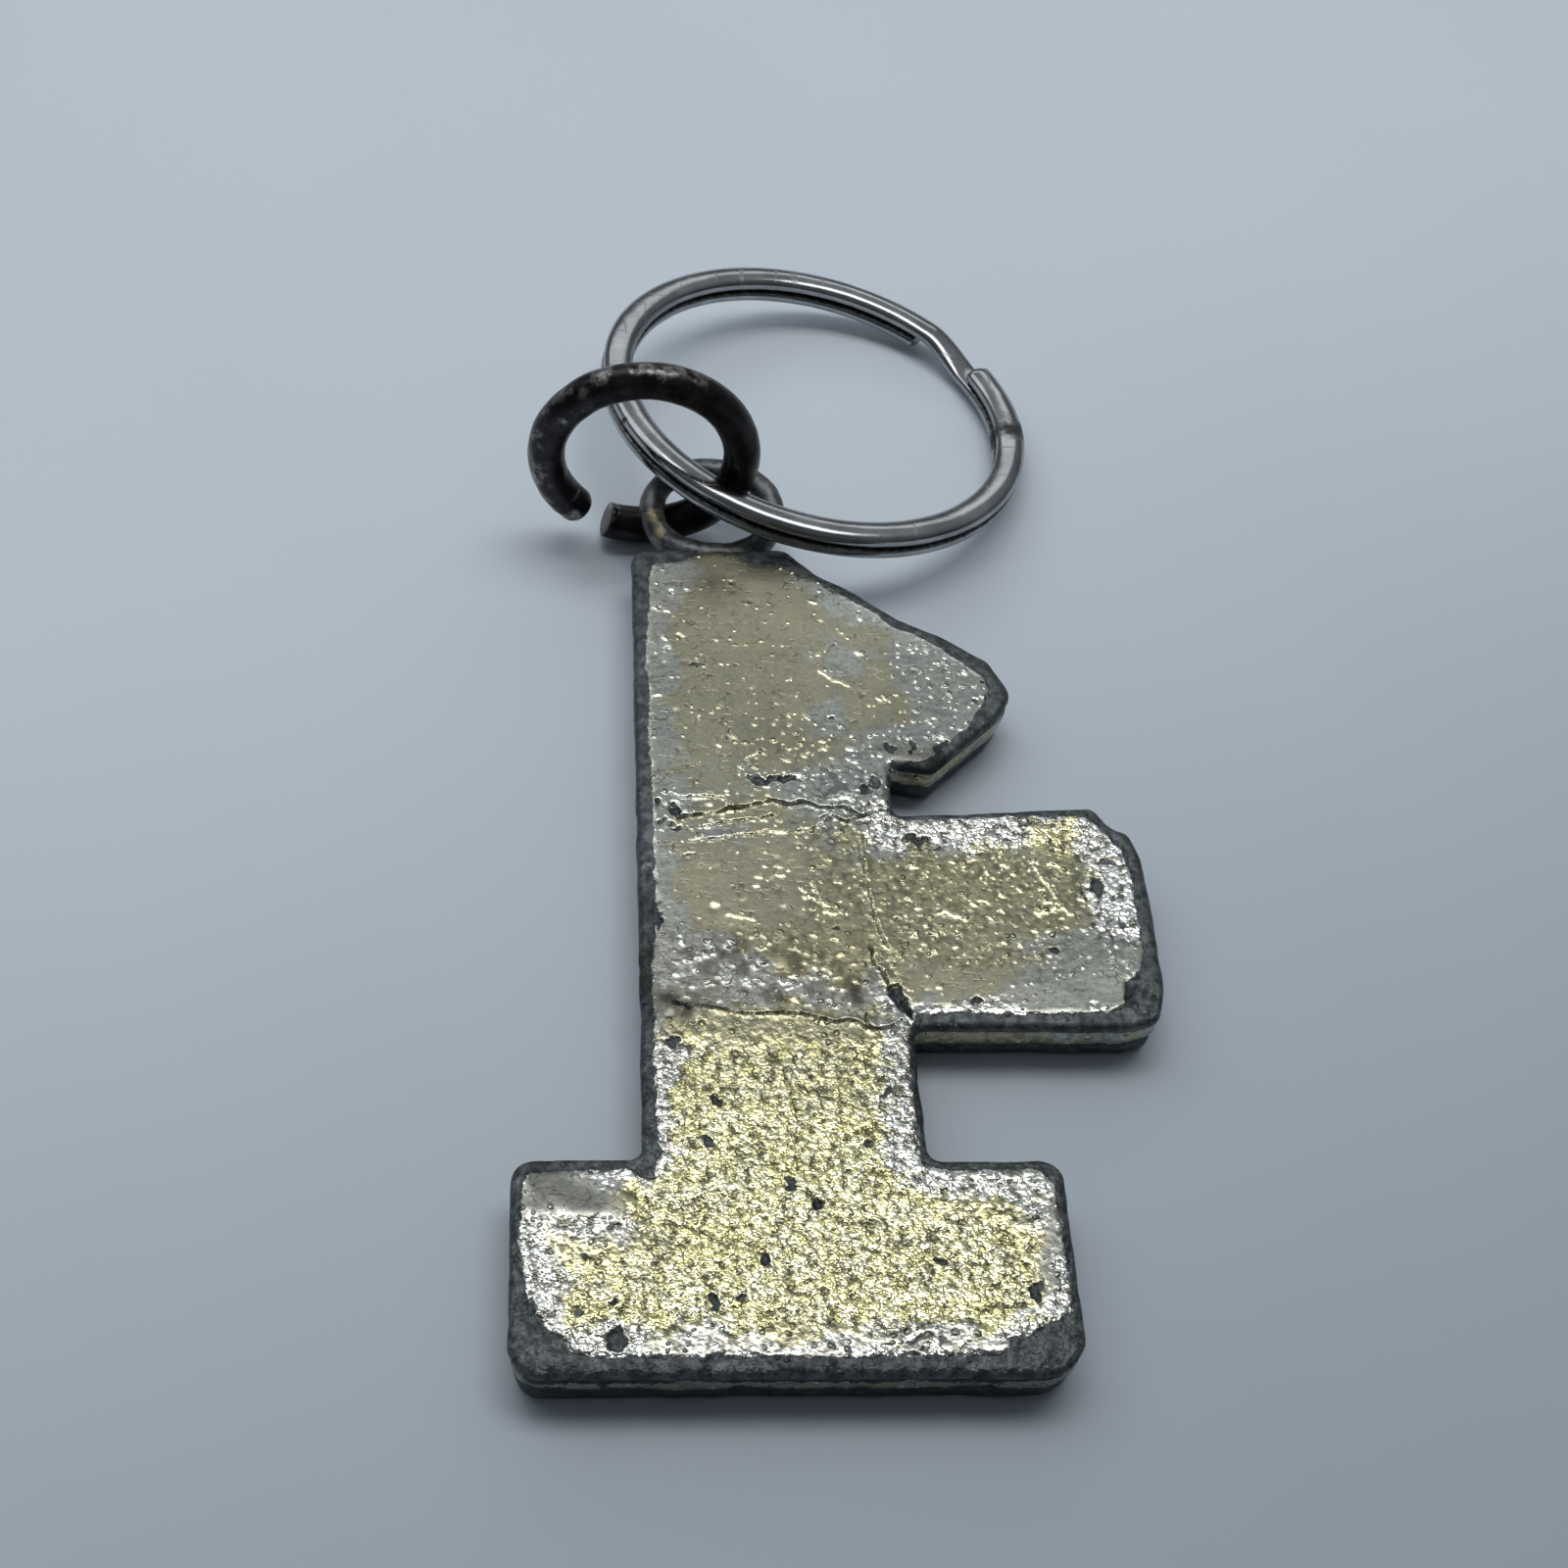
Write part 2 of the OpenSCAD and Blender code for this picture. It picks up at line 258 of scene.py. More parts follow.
# Cracks: points, depth and half width.
CRACKS = [
    ([(-4.4, 5.75), (-3.6, 5.92), (-2.5, 6.1), (-1.9, 6.38), (-1.2, 6.5), (-0.3, 6.75), (0.3, 6.95), (1.0, 6.68), (1.7, 6.88),
      (2.1, 6.82), (2.6, 6.5), (3.2, 6.55), (3.9, 6.6), (4.3, 6.35), (4.7, 6.0), (5.2, 6.1), (5.8, 6.42), (6.5, 6.35)], 0.34, 0.10),
    ([(2.7, 5.75), (3.1, 6.0), (3.5, 5.92), (4.0, 5.6), (4.5, 5.85), (5.0, 6.0)], 0.28, 0.09),
    ([(-3.9, 4.25), (-2.8, 4.42), (-1.5, 4.68), (-0.8, 4.75), (0.0, 4.95)], 0.16, 0.06),
    ([(1.6, 4.95), (2.2, 5.2), (2.8, 5.5), (3.3, 5.9)], 0.20, 0.08),
    ([(-3.4, 5.2), (-2.0, 5.5), (-0.8, 5.75), (0.4, 5.95)], 0.17, 0.055),
    ([(-5.2, 7.4), (-4.3, 7.1), (-3.2, 7.2), (-2.1, 7.05)], 0.16, 0.055),
    ([(4.5, 4.6), (4.68, 3.3), (4.75, 2.4), (4.85, 1.2), (5.0, 0.2), (5.15, -0.6), (5.3, -1.5), (5.6, -2.15)], 0.16, 0.07),
    ([(4.7, -1.9), (4.72, -2.9), (5.0, -3.4), (5.3, -4.1), (5.6, -4.7), (5.9, -5.2), (6.2, -5.8), (6.4, -6.3)], 0.26, 0.09),
    ([(-4.7, -5.55), (-4.1, -5.6), (-3.4, -5.72), (-2.4, -5.9), (-1.6, -6.1), (-0.5, -6.1), (0.5, -6.0), (1.2, -6.1), (2.0, -6.3),
      (2.6, -6.55), (3.2, -6.4), (3.7, -6.45), (4.1, -6.8), (4.8, -6.9), (5.3, -6.8), (5.9, -6.35)], 0.24, 0.08),
    ([(4.25, -6.0), (4.22, -6.4), (4.3, -6.8)], 0.24, 0.08),
    ([(-1.2, 8.9), (-0.9, 9.6), (-0.1, 10.1)], 0.12, 0.05),
]
# Chips and pits: x, y, half length, half width, turn in degrees, depth, 1 where the plating is gone.
CHIPS = [
    (0.5, 8.32, 1.45, 0.27, 3, 0.26, 1), (-4.68, 6.2, 0.30, 0.36, -25, 0.30, 1), (5.95, -5.2, 0.42, 0.95, 22, 0.42, 1),
    (7.4, 4.55, 0.72, 0.36, -8, 0.30, 1), (5.1, 7.6, 0.5, 0.28, 30, 0.16, 1), (5.6, 8.3, 0.4, 0.2, 60, 0.14, 1),
    (-5.6, 6.7, 0.2, 0.35, 0, 0.16, 1), (-5.2, 5.5, 0.35, 0.16, -20, 0.16, 1), (-4.5, 5.15, 0.3, 0.13, -10, 0.14, 1),
    (-5.95, 2.3, 0.22, 0.42, 0, 0.2, 1), (-3.98, 3.32, 0.22, 0.09, 10, 0.14, 1), (3.05, -1.0, 0.18, 0.12, 0, 0.12, 1),
    (13.65, -2.25, 0.34, 0.2, -20, 0.14, 1), (9.1, -2.75, 0.38, 0.09, 5, 0.08, 0), (9.5, -5.2, 0.14, 0.32, 0, 0.12, 1),
    (17.75, -5.0, 0.75, 0.95, 0, 0.30, 1), (-4.45, 21.12, 0.24, 0.12, -15, 0.10, 0), (-4.0, 18.05, 0.26, 0.22, 0, 0.10, 0),
    (-4.85, 16.95, 0.16, 0.3, 10, 0.10, 0), (-3.2, 15.9, 0.42, 0.10, 0, 0.12, 1), (-3.2, 12.1, 0.11, 0.42, -12, 0.13, 0),
    (-1.68, 11.35, 0.09, 0.3, 0, 0.12, 1), (-2.25, 10.25, 0.11, 0.25, 0, 0.10, 0), (-3.75, 9.1, 0.07, 0.12, 0, 0.12, 1),
    (3.65, 12.48, 0.20, 0.17, 0, 0.22, 1), (6.35, 13.85, 0.3, 0.2, 10, 0.10, 0), (5.65, 11.15, 0.2, 0.2, 0, 0.10, 0),
    (7.8, 10.75, 0.16, 0.48, -10, 0.16, 1), (6.6, 10.5, 0.12, 0.42, 35, 0.13, 1), (9.3, 10.6, 0.55, 0.4, 40, 0.14, 1),
    (11.35, 13.75, 0.18, 0.2, 0, 0.12, 1), (12.0, 15.25, 0.15, 0.22, 0, 0.12, 1), (4.0, 21.85, 0.25, 0.09, 10, 0.07, 0),
    (0.9, 10.35, 0.35, 0.07, 25, 0.09, 0), (7.0, 11.7, 0.2, 0.08, 0, 0.08, 0), (9.0, 12.6, 0.2, 0.1, 30, 0.1, 0),
    (8.9, 15.9, 0.2, 0.14, 10, 0.09, 0), (10.2, 13.1, 0.18, 0.1, -40, 0.09, 0), (4.4, 18.45, 0.42, 0.08, -10, 0.07, 0),
    (-2.3, -14.85, 0.55, 0.4, 0, 0.14, 0), (0.05, -15.35, 0.25, 0.32, 0, 0.2, 1), (1.35, -16.35, 0.42, 0.3, 10, 0.24, 1),
    (-3.05, -16.25, 0.34, 0.26, 0, 0.14, 0), (-1.25, -19.35, 0.2, 0.42, 10, 0.14, 1), (-3.45, -21.35, 0.3, 0.46, 15, 0.26, 1),
    (-2.3, -21.0, 0.22, 0.28, 0, 0.2, 1), (-9.4, -21.7, 0.22, 0.2, 0, 0.2, 1), (10.75, -20.8, 0.36, 0.62, -10, 0.28, 1),
    (-7.75, -23.1, 0.42, 0.65, 5, 0.2, 1), (-9.1, -19.1, 0.25, 0.1, 0, 0.1, 1), (-3.6, -13.2, 0.25, 0.35, 0, 0.14, 1),
    (3.75, -13.1, 0.22, 0.32, 0, 0.14, 1), (-3.0, -10.9, 0.28, 0.3, 0, 0.16, 1), (-5.0, -7.6, 0.4, 0.3, 0, 0.12, 1),
    (5.0, -10.4, 0.35, 0.25, 20, 0.12, 1), (6.7, -19.3, 0.3, 0.16, 0, 0.12, 1), (-8.0, -21.3, 0.2, 0.16, 0, 0.14, 1),
    (-5.9, -19.0, 0.3, 0.2, 20, 0.10, 0), (4.6, -14.9, 0.5, 0.22, 10, 0.12, 0), (-11.5, -21.5, 0.3, 0.25, 0, 0.14, 1),
    (9.6, -23.2, 0.5, 0.3, 10, 0.1, 1), (5.5, -23.1, 0.8, 0.16, 5, 0.10, 1), (-5.6, -0.5, 0.25, 0.7, -5, 0.14, 1),
    (-4.7, -5.6, 0.5, 0.14, -5, 0.18, 1), (2.6, -8.0, 0.5, 0.12, -20, 0.12, 0), (-4.2, -6.8, 0.45, 0.2, 15, 0.12, 0),
    (16.9, 3.3, 0.35, 0.3, 0, 0.14, 1), (16.3, 1.7, 0.3, 0.5, 10, 0.12, 1), (17.3, -0.6, 0.4, 0.3, 0, 0.12, 1),
    (13.2, 5.7, 0.25, 0.12, 0, 0.12, 1), (11.7, 3.0, 0.3, 0.18, 0, 0.1, 0), (8.3, 3.9, 0.4, 0.14, 10, 0.13, 1),
]
# Small raised grains and ridges that catch the light: x0, y0, x1, y1, half width, height.
NIBS = [
    (-5.35, 20.15, -5.15, 20.0, 0.12, 0.07), (-4.85, 19.95, -4.68, 19.9, 0.12, 0.07), (-4.95, 17.95, -4.8, 17.85, 0.12, 0.07),
    (-2.2, 17.98, -2.1, 17.93, 0.09, 0.05), (-2.95, 16.05, -2.85, 15.98, 0.10, 0.06), (5.58, 19.75, 5.66, 19.6, 0.14, 0.08),
    (2.9, 20.9, 3.3, 20.78, 0.10, 0.06), (3.4, 19.5, 3.62, 19.45, 0.09, 0.05), (5.35, 17.15, 5.7, 16.85, 0.16, 0.10),
    (3.15, 17.0, 3.25, 17.0, 0.10, 0.06), (3.2, 15.8, 3.9, 15.2, 0.10, 0.07), (3.9, 15.2, 4.8, 14.75, 0.08, 0.05),
    (2.2, 12.8, 2.5, 12.4, 0.08, 0.05), (1.35, 12.65, 1.45, 12.55, 0.10, 0.06), (1.05, 11.45, 1.15, 11.35, 0.09, 0.05),
    (-1.55, 11.15, -1.45, 11.0, 0.09, 0.06), (3.0, 10.95, 3.25, 10.9, 0.10, 0.07), (3.0, 10.5, 3.2, 10.4, 0.10, 0.07),
    (4.4, 10.5, 4.65, 10.4, 0.12, 0.07), (1.95, 9.95, 2.15, 9.85, 0.09, 0.06), (1.1, 9.6, 1.35, 9.55, 0.09, 0.05),
    (4.65, 9.6, 4.8, 9.55, 0.09, 0.05), (5.95, 10.1, 6.1, 10.0, 0.09, 0.05), (9.9, 17.05, 10.0, 16.9, 0.10, 0.06),
    (10.9, 15.95, 11.05, 15.85, 0.12, 0.07), (8.3, 15.4, 8.35, 15.2, 0.10, 0.06), (8.95, 14.2, 9.05, 14.1, 0.09, 0.05),
    (8.0, 17.45, 8.2, 17.4, 0.09, 0.05), (8.9, 17.5, 9.1, 17.3, 0.09, 0.05), (-3.65, 21.6, -3.55, 21.55, 0.09, 0.05),
    (-0.5, 20.6, -0.35, 20.5, 0.09, 0.04), (-5.15, 13.95, -5.5, 13.9, 0.08, 0.05), (2.0, 14.15, 1.9, 14.0, 0.08, 0.05),
    (8.7, 12.5, 8.9, 12.3, 0.09, 0.05), (9.4, 11.5, 9.7, 11.1, 0.16, 0.07), (11.6, 13.6, 11.7, 13.5, 0.09, 0.05),
    (2.0, 1.75, 2.7, 0.35, 0.10, 0.06), (1.4, 1.5, 1.9, 0.8, 0.07, 0.04), (-2.2, -0.28, -0.85, -0.6, 0.09, 0.06),
    (13.2, 3.2, 14.6, 0.2, 0.09, 0.07), (14.2, 3.2, 15.0, 2.6, 0.09, 0.06), (8.2, 0.3, 9.5, -0.4, 0.09, 0.06),
    (13.1, 0.1, 14.3, 0.4, 0.14, 0.07), (15.4, 1.3, 16.0, 0.3, 0.09, 0.05), (-2.85, 0.45, -2.65, 0.35, 0.14, 0.07),
    (4.5, 1.6, 4.95, 0.5, 0.07, 0.05), (2.6, 0.0, 3.4, -0.1, 0.09, 0.05), (12.0, -1.8, 12.05, -2.0, 0.12, 0.07),
    (6.9, -1.3, 7.0, -1.5, 0.12, 0.07), (2.0, -2.0, 1.9, -3.0, 0.08, 0.05), (0.3, 8.62, 1.9, 8.66, 0.08, 0.06),
    (-0.4, 7.95, 0.2, 7.82, 0.09, 0.06), (0.4, 7.02, 1.0, 6.95, 0.08, 0.06), (-3.0, 6.62, -2.8, 6.58, 0.09, 0.06),
    (-2.9, 7.35, -2.7, 7.3, 0.10, 0.06), (-2.0, 7.55, -1.9, 7.5, 0.10, 0.06), (-1.9, 6.2, -1.6, 6.2, 0.08, 0.06),
    (0.2, 4.95, 0.8, 4.95, 0.12, 0.08), (3.2, 7.1, 4.4, 7.3, 0.16, 0.07), (-5.9, 2.9, -6.3, 2.9, 0.12, 0.05),
]
# Many more small ones, scattered over the arm and the lower stem.
nib_rng = np.random.default_rng(77)
for nx0, nx1, ny0, ny1, count in ((6.0, 15.6, -1.6, 3.6, 46), (-4.9, 4.2, -5.7, -1.4, 88), (-1.5, 4.6, -1.0, 3.0, 12), (6.5, 12.5, -4.6, -1.6, 8)):
    for _ in range(count):
        nx, ny, turn, half = nib_rng.uniform(nx0, nx1), nib_rng.uniform(ny0, ny1), nib_rng.uniform(-1.1, 0.5), nib_rng.uniform(0.02, 0.16)
        NIBS.append((nx - half * cos(turn), ny - half * sin(turn), nx + half * cos(turn), ny + half * sin(turn),
                     nib_rng.uniform(0.07, 0.12), nib_rng.uniform(0.045, 0.075)))
# Where the grain is coarse, and where its colour is painted paler so that it sparkles, a painted highlight: x, y, half
# sizes, fade, strength.
SPARK = [
    (0.0, -19.8, 14.0, 11.4, 3.0, 1.0), (-0.5, -4.6, 6.0, 2.4, 3.0, 0.54), (11.5, 5.4, 6.5, 1.3, 0.9, 1.0),
    (17.0, 2.6, 1.2, 4.0, 0.9, 0.85), (11.5, 2.4, 6.0, 1.6, 1.6, 0.54), (11.0, -5.75, 6.0, 0.35, 0.4, 0.75),
    (9.0, -1.2, 5.0, 2.4, 2.4, 0.50), (15.6, -2.0, 2.2, 1.4, 0.9, 0.40), (4.4, 6.6, 2.2, 2.4, 1.2, 0.55),
    (3.0, 10.0, 4.0, 1.6, 1.6, 0.34), (9.5, 14.0, 2.4, 3.6, 1.4, 0.34), (4.6, 1.0, 2.2, 5.0, 1.8, 0.50),
    (-1.0, 6.3, 4.5, 1.2, 1.2, 0.30), (0.0, 17.0, 6.0, 8.0, 3.0, 0.04),
]
DULL = [(-9.9, -15.8, 1.1, 0.55, 1.7, 0.90), (-8.3, -16.2, 0.6, 0.2, 1.5, 0.62), (-8.4, -18.7, 2.0, 0.45, 0.5, 0.28), (9.2, -15.1, 2.6, 0.35, 0.4, 0.35),
        (9.6, -16.8, 2.0, 0.35, 0.5, 0.25), (14.6, -4.6, 2.3, 0.9, 0.6, 0.8), (11.75, -18.5, 0.35, 2.2, 0.4, 0.5),
        (9.5, -4.2, 2.6, 0.9, 0.7, 0.6), (2.0, -23.3, 8.0, 0.25, 0.4, 0.4)]

# Patches of the back face painted darker and duller; the one at the flag's lower corner, (8.0, 9.65), is painted shadow
# in the notch under the flag's tip.
DARKER_PATCHES = [(-1.0, -3.4, 4.8, 1.7, 2.0, 0.80), (-7.0, -18.2, 2.2, 0.7, 1.4, 0.32), (-8.5, -20.6, 2.4, 1.4, 1.4, 0.16), (-4.9, -2.5, 0.9, 4.0, 0.8, 0.48), (8.0, -2.6, 2.5, 2.0, 1.6, 0.30),
           (-4.7, 12.0, 0.8, 4.0, 0.8, 0.10), (10.5, 0.6, 4.5, 2.4, 1.5, 0.40), (0.0, -8.2, 5.0, 1.6, 3.2, 0.38), (8.0, 9.65, 1.3, 0.35, 0.5, 0.85),
           (4.9, 1.5, 0.9, 3.5, 0.9, 0.30), (15.2, -2.0, 1.6, 1.8, 1.0, 0.22), (0.0, 2.0, 4.0, 2.6, 1.4, 0.10)]

def soft_box(P, spec):
    x, y, hx, hy, fade, s = spec
    dx = np.maximum(np.abs(P[:, 0] - x) - hx, 0); dy = np.maximum(np.abs(P[:, 1] - y) - hy, 0)
    return s * (1 - smooth(0, fade, np.hypot(dx, dy)))

def spark_at(P):
    P3 = np.column_stack([P[:, 0], P[:, 1], np.zeros(len(P))])
    Q = P + np.stack([vnoise(P3, 1.6, 51), vnoise(P3, 1.6, 52)], 1) * 0.5
    W3 = warp(warp(P, 0.75, 2.2, 55), 0.28, 0.7, 57)
    s = np.zeros(len(P))
    for spec in SPARK:
        s = np.maximum(s, soft_box(Q, spec))
    for spec in DULL:
        s *= 1 - soft_box(W3, spec)
    return s

# ---------------------------------------------------------------- the casting
def hexgrid(x0, x1, y0, y1, s, seed):
    nx, ny = int((x1 - x0) / s) + 2, int((y1 - y0) / (s * 0.866)) + 2
    j, i = np.meshgrid(np.arange(ny), np.arange(nx), indexing="ij")
    x = x0 + (i + 0.5 * (j % 2)) * s
    y = y0 + j * s * 0.866
    P = np.stack([x.ravel(), y.ravel()], 1)
    rng = np.random.default_rng(seed)
    return P + rng.uniform(-0.22, 0.22, P.shape) * s

def triangulate(loop, inner):
    pts = [Vector((float(a), float(b))) for a, b in np.vstack([loop, inner])]
    n = len(loop)
    vs, es, fs, ov, oe, of = delaunay_2d_cdt(pts, [], [list(range(n))], 1, 1e-7)
    where = {}
    for j, ks in enumerate(ov):
        for k in ks:
            if k < n:
                where[k] = j
    V = np.array([(v.x, v.y) for v in vs])
    F = np.array([f for f in fs if len(f) == 3])
    a, b, c = V[F[:, 0]], V[F[:, 1]], V[F[:, 2]]
    area = (b - a)[:, 0] * (c - a)[:, 1] - (b - a)[:, 1] * (c - a)[:, 0]
    F[area < 0] = F[area < 0][:, ::-1]
    return V, F, [where[k] for k in range(n)]

def warp(P, amp=0.07, size=0.38, seed=21):
    P3 = np.column_stack([P[:, 0], P[:, 1], np.zeros(len(P))])
    return P + amp * np.stack([vnoise(P3, size, seed), vnoise(P3, size, seed + 1)], 1) \
        + amp * 0.5 * np.stack([vnoise(P3, size / 2.3, seed + 2), vnoise(P3, size / 2.3, seed + 3)], 1)

def near_fine(P):
    """Distance to the nearest crack, chip edge or nib, roughly."""
    d = np.full(len(P), 9.0)
    for pts, depth, w in CRACKS:
        d = np.minimum(d, path_dist(P, pts))
    for x, y, a, b, turn, depth, bare in CHIPS:
        r = np.hypot(P[:, 0] - x, P[:, 1] - y)
        d = np.minimum(d, np.maximum(r - max(a, b), 0) + 0.08)
    for x0, y0, x1, y1, w, h in NIBS:
        d = np.minimum(d, path_dist(P, [(x0, y0), (x1, y1 + 1e-4)]))
    return d

RIM = 0.50

def rim_drop(d):
    t = np.clip(RIM - d, 0, RIM)
    return RIM - np.sqrt(np.maximum(RIM * RIM - t * t, 0))

def make_casting():
    x0, x1 = RING[:, 0].min(), RING[:, 0].max()
    y0, y1 = RING[:, 1].min(), RING[:, 1].max()
    pts = []
    # Even grid, finer where the grain is coarse and bright, and finest along cracks and chips.
    for s, kind, seed in ((0.20, 0, 1), (0.128, 1, 2), (0.075, 2, 3)):
        g = hexgrid(x0, x1, y0, y1, s, seed)
        g = g[inside(g, RING)]
        fine = near_fine(g) < 0.22
        sp = spark_at(g) > 0.55
        zone = np.where(fine, 2, np.where(sp, 1, 0))
        pts.append(g[zone == kind])
    g = np.vstack(pts)
    d = seg_dist(g, RING, np.roll(RING, -1, 0))
    g = g[d > 0.26]
    loops = [inset(0.028), inset(0.085), inset(0.17)]
    V, F, rim = triangulate(RING, np.vstack(loops + [g]))
    n_top = len(V)
    d = np.where(inside(V, RING), seg_dist(V, RING, np.roll(RING, -1, 0)), 0)
    d[rim] = 0
    P3 = np.column_stack([V, np.zeros(n_top)])
    plate = signed(V, PLATE)
    gold = np.full(n_top, -9.0)
    for poly in GOLD:
        gold = np.maximum(gold, signed(V, poly))
    for x, y, a, b in SILVER_SPOTS:
        rn = np.hypot((V[:, 0] - x) / a, (V[:, 1] - y) / b)
        gold = np.minimum(gold, (rn - 1) * min(a, b))
    spark = spark_at(V)
    dull = np.zeros(n_top)
    W3 = warp(warp(V, 0.75, 2.2, 55), 0.28, 0.7, 57)
    for spec in DULL:
        dull = np.maximum(dull, soft_box(W3, spec))
    # slow swells of the rough back, and the arm's far edge standing up a little
    h = 0.040 * vnoise(P3, 5.0, 11) + 0.014 * vnoise(P3, 2.0, 12) + 0.005 * vnoise(P3, 0.9, 13)
    h += 0.11 * smooth(3.6, 6.2, V[:, 1]) * smooth(6.6, 8.6, V[:, 0]) * (V[:, 1] < 7.5)
    h += 0.08 * smooth(16.2, 18.2, V[:, 0]) * (V[:, 1] > -1)
    lean = soft_box(W3, (-9.6, -15.8, 1.2, 0.6, 1.8, 1.0))
    h = h * (1 - 0.8 * lean) - 0.045 * (V[:, 1] + 15.9) * lean
    # short flaky wrinkles of the smoother plating
    st = P3 @ np.array([[0.55, 0.0, 0.0], [0.0, 1.6, 0.0], [0, 0, 1]])
    h += 0.0035 * fbm(st, 0.8, 3, 14)
    # grains
    f1, own = cells(warp(V, 0.08, 0.5, 31), 0.46, 5)
    f2, own2 = cells(warp(V, 0.05, 0.3, 35), 0.27, 6)
    grain = np.maximum(spark ** 2.2, 0.02)
    h += grain * (0.050 * (0.55 - f1) + 0.036 * (own - 0.5) + 0.030 * (0.5 - f2) + 0.020 * (own2 - 0.5))
    # edge of the plating: a thin layer over the bare casting
    P3w = P3
    edge = plate + 0.16 * vnoise(P3w, 0.55, 41) + 0.08 * vnoise(P3w, 0.22, 42)
    h += 0.05 * (smooth(-0.05, 0.10, edge) - 1)
    dark = np.where(V[:, 1] < -10, 0.68, 0.40) * smooth(0.1, 0.9, dull)
    # darker patches, with the painted shadow under the flag's tip among them
    darker_patch = np.zeros(n_top)
    for spec in DARKER_PATCHES:
        darker_patch = np.maximum(darker_patch, soft_box(W3, spec))
    dark = np.maximum(dark, darker_patch * (0.8 + 0.35 * vnoise(P3, 0.9, 58)))
    W = warp(V)
    W2 = warp(V, 0.24, 0.42, 25)
    for k, (path, depth, w) in enumerate(CRACKS):
        dc = path_dist(W, path)
        w = 0.60 * w * (1 + 0.5 * vnoise(P3, 0.8, 60 + k))
        h -= 0.75 * depth * np.exp(-(dc / w) ** 2)
        h += 0.03 * np.exp(-((dc - 2.4 * w) / (0.9 * w)) ** 2)
        dark = np.maximum(dark, min(0.95, depth * 3.6) * np.exp(-(dc / (w * 1.1)) ** 4))
        spark = np.maximum(spark, 0.35 * np.exp(-(dc / 0.5) ** 2))
    for x, y, a, b, turn, depth, bare in CHIPS:
        c, s = cos(radians(turn)), sin(radians(turn))
        u = (W2[:, 0] - x) * c + (W2[:, 1] - y) * s
        v = -(W2[:, 0] - x) * s + (W2[:, 1] - y) * c
        rn = np.hypot(u / (a * 0.9), v / (b * 0.9))
        m = 1 - smooth(0.45, 1.25, rn + 0.30 * vnoise(P3, 0.16, 73))
        h -= 0.55 * depth * m * (0.8 + 0.35 * vnoise(P3, 0.25, 71))
        if bare:
            plate = np.minimum(plate, (rn - 0.95) * min(a, b))
        dark = np.maximum(dark, m * (0.26 if bare else 0.16) * (0.8 + 0.5 * vnoise(P3, 0.3, 72)))
    for x0_, y0_, x1_, y1_, w, hh in NIBS:
        dc = path_dist(W, [(x0_, y0_), (x1_, y1_ + 1e-4)])
        h += 0.72 * hh * np.exp(-(dc / (0.85 * w)) ** 2)
        dark *= 1 - 0.92 * np.exp(-(dc / (1.25 * w)) ** 2)
    # small scattered pits
    f3, own3 = cells(V, 1.15, 8)
    pit = (own3 > 0.62) * np.exp(-(f3 / 0.085) ** 2)
    h -= 0.07 * pit
    dark = np.maximum(dark, 0.55 * pit)
    h *= smooth(0.0, 0.45, d)
    z = T - 0.02 - rim_drop(d) + h
    top = np.column_stack([V, z])

    # walls: a lip, a crease under it, a flat band, and a rounded lower edge
    zr = T - 0.02 - RIM
    levels = [(zr - 0.10, 0.02), (zr - 0.19, 0.11), (zr - 0.29, 0.16), (zr - 0.42, 0.13), (zr - 0.66, 0.10), (zr - 0.92, 0.10),
              (zr - 1.18, 0.12), (1.20, 0.18), (0.86, 0.22), (0.50, 0.29), (0.26, 0.40), (0.09, 0.55), (0.0, 0.72)]
    verts = [top]
    prev = list(rim)
    faces = [F]
    count = n_top
    a_plate, a_gold, a_spark, a_dark = [plate], [gold], [spark], [dark]
    m = len(RING)
    nx_, ny_ = RN[:, 0], RN[:, 1]
    near = smooth(0.15, 0.6, -ny_)               # walls that face down the numeral
    for z_, o in levels:
        loop = inset(o)
        L3 = np.column_stack([loop, np.full(m, z_)])
        verts.append(L3)
        idx = list(range(count, count + m))
        count += m
        A, B = np.array(prev), np.array(idx)
        A2, B2 = np.roll(A, -1), np.roll(B, -1)
        faces.append(np.stack([A, B, B2], 1))
        faces.append(np.stack([A, B2, A2], 1))
        prev = idx
        # plating that survives in a band part way down
        ragged = 0.22 * vnoise(L3, 1.1, 81) + 0.12 * vnoise(L3, 0.4, 82)
        foot_front = smooth(-24.0, -24.6, loop[:, 1])
        band = (0.56 - 0.30 * foot_front) - np.abs(z_ - (2.02 - 0.10 * foot_front)) + 0.7 * ragged
        cover = np.maximum(0.25 * vnoise(L3 * [1, 1, 0.3], 2.6, 83) - 0.22 + 0.55 * near, -0.6)
        cover = np.where(foot_front > 0.5, cover - 0.16, cover)
        sd = np.minimum(band, cover)
        a_plate.append(sd)
        a_gold.append(np.where((loop[:, 0] > 12.4) | (loop[:, 1] < -24), -0.3, 0.6) + 0.3 * vnoise(L3, 1.4, 84))
        a_spark.append(0.10 + 0.42 * near * (1 - smooth(-24.0, -24.6, loop[:, 1])))
        # painted shade on the walls: darker all round and more on the foot's front, a dark line in the crease under the
        # lip, and darker towards the bottom where the contact shadow falls
        a_dark.append(np.maximum(0.42 + 0.22 * foot_front, 0.55 * np.exp(-((z_ - (zr - 0.25)) / 0.13) ** 2) + 0.35 * smooth(1.15, 0.5, z_)))
    # front face, against the table: level, with a shallow border line
    inner = hexgrid(x0, x1, y0, y1, 0.42, 9)
    base = inset(0.72)
    inner = inner[inside(inner, base)]
    dd = seg_dist(inner, base, np.roll(base, -1, 0))
    inner = inner[dd > 0.25]
    extra = []
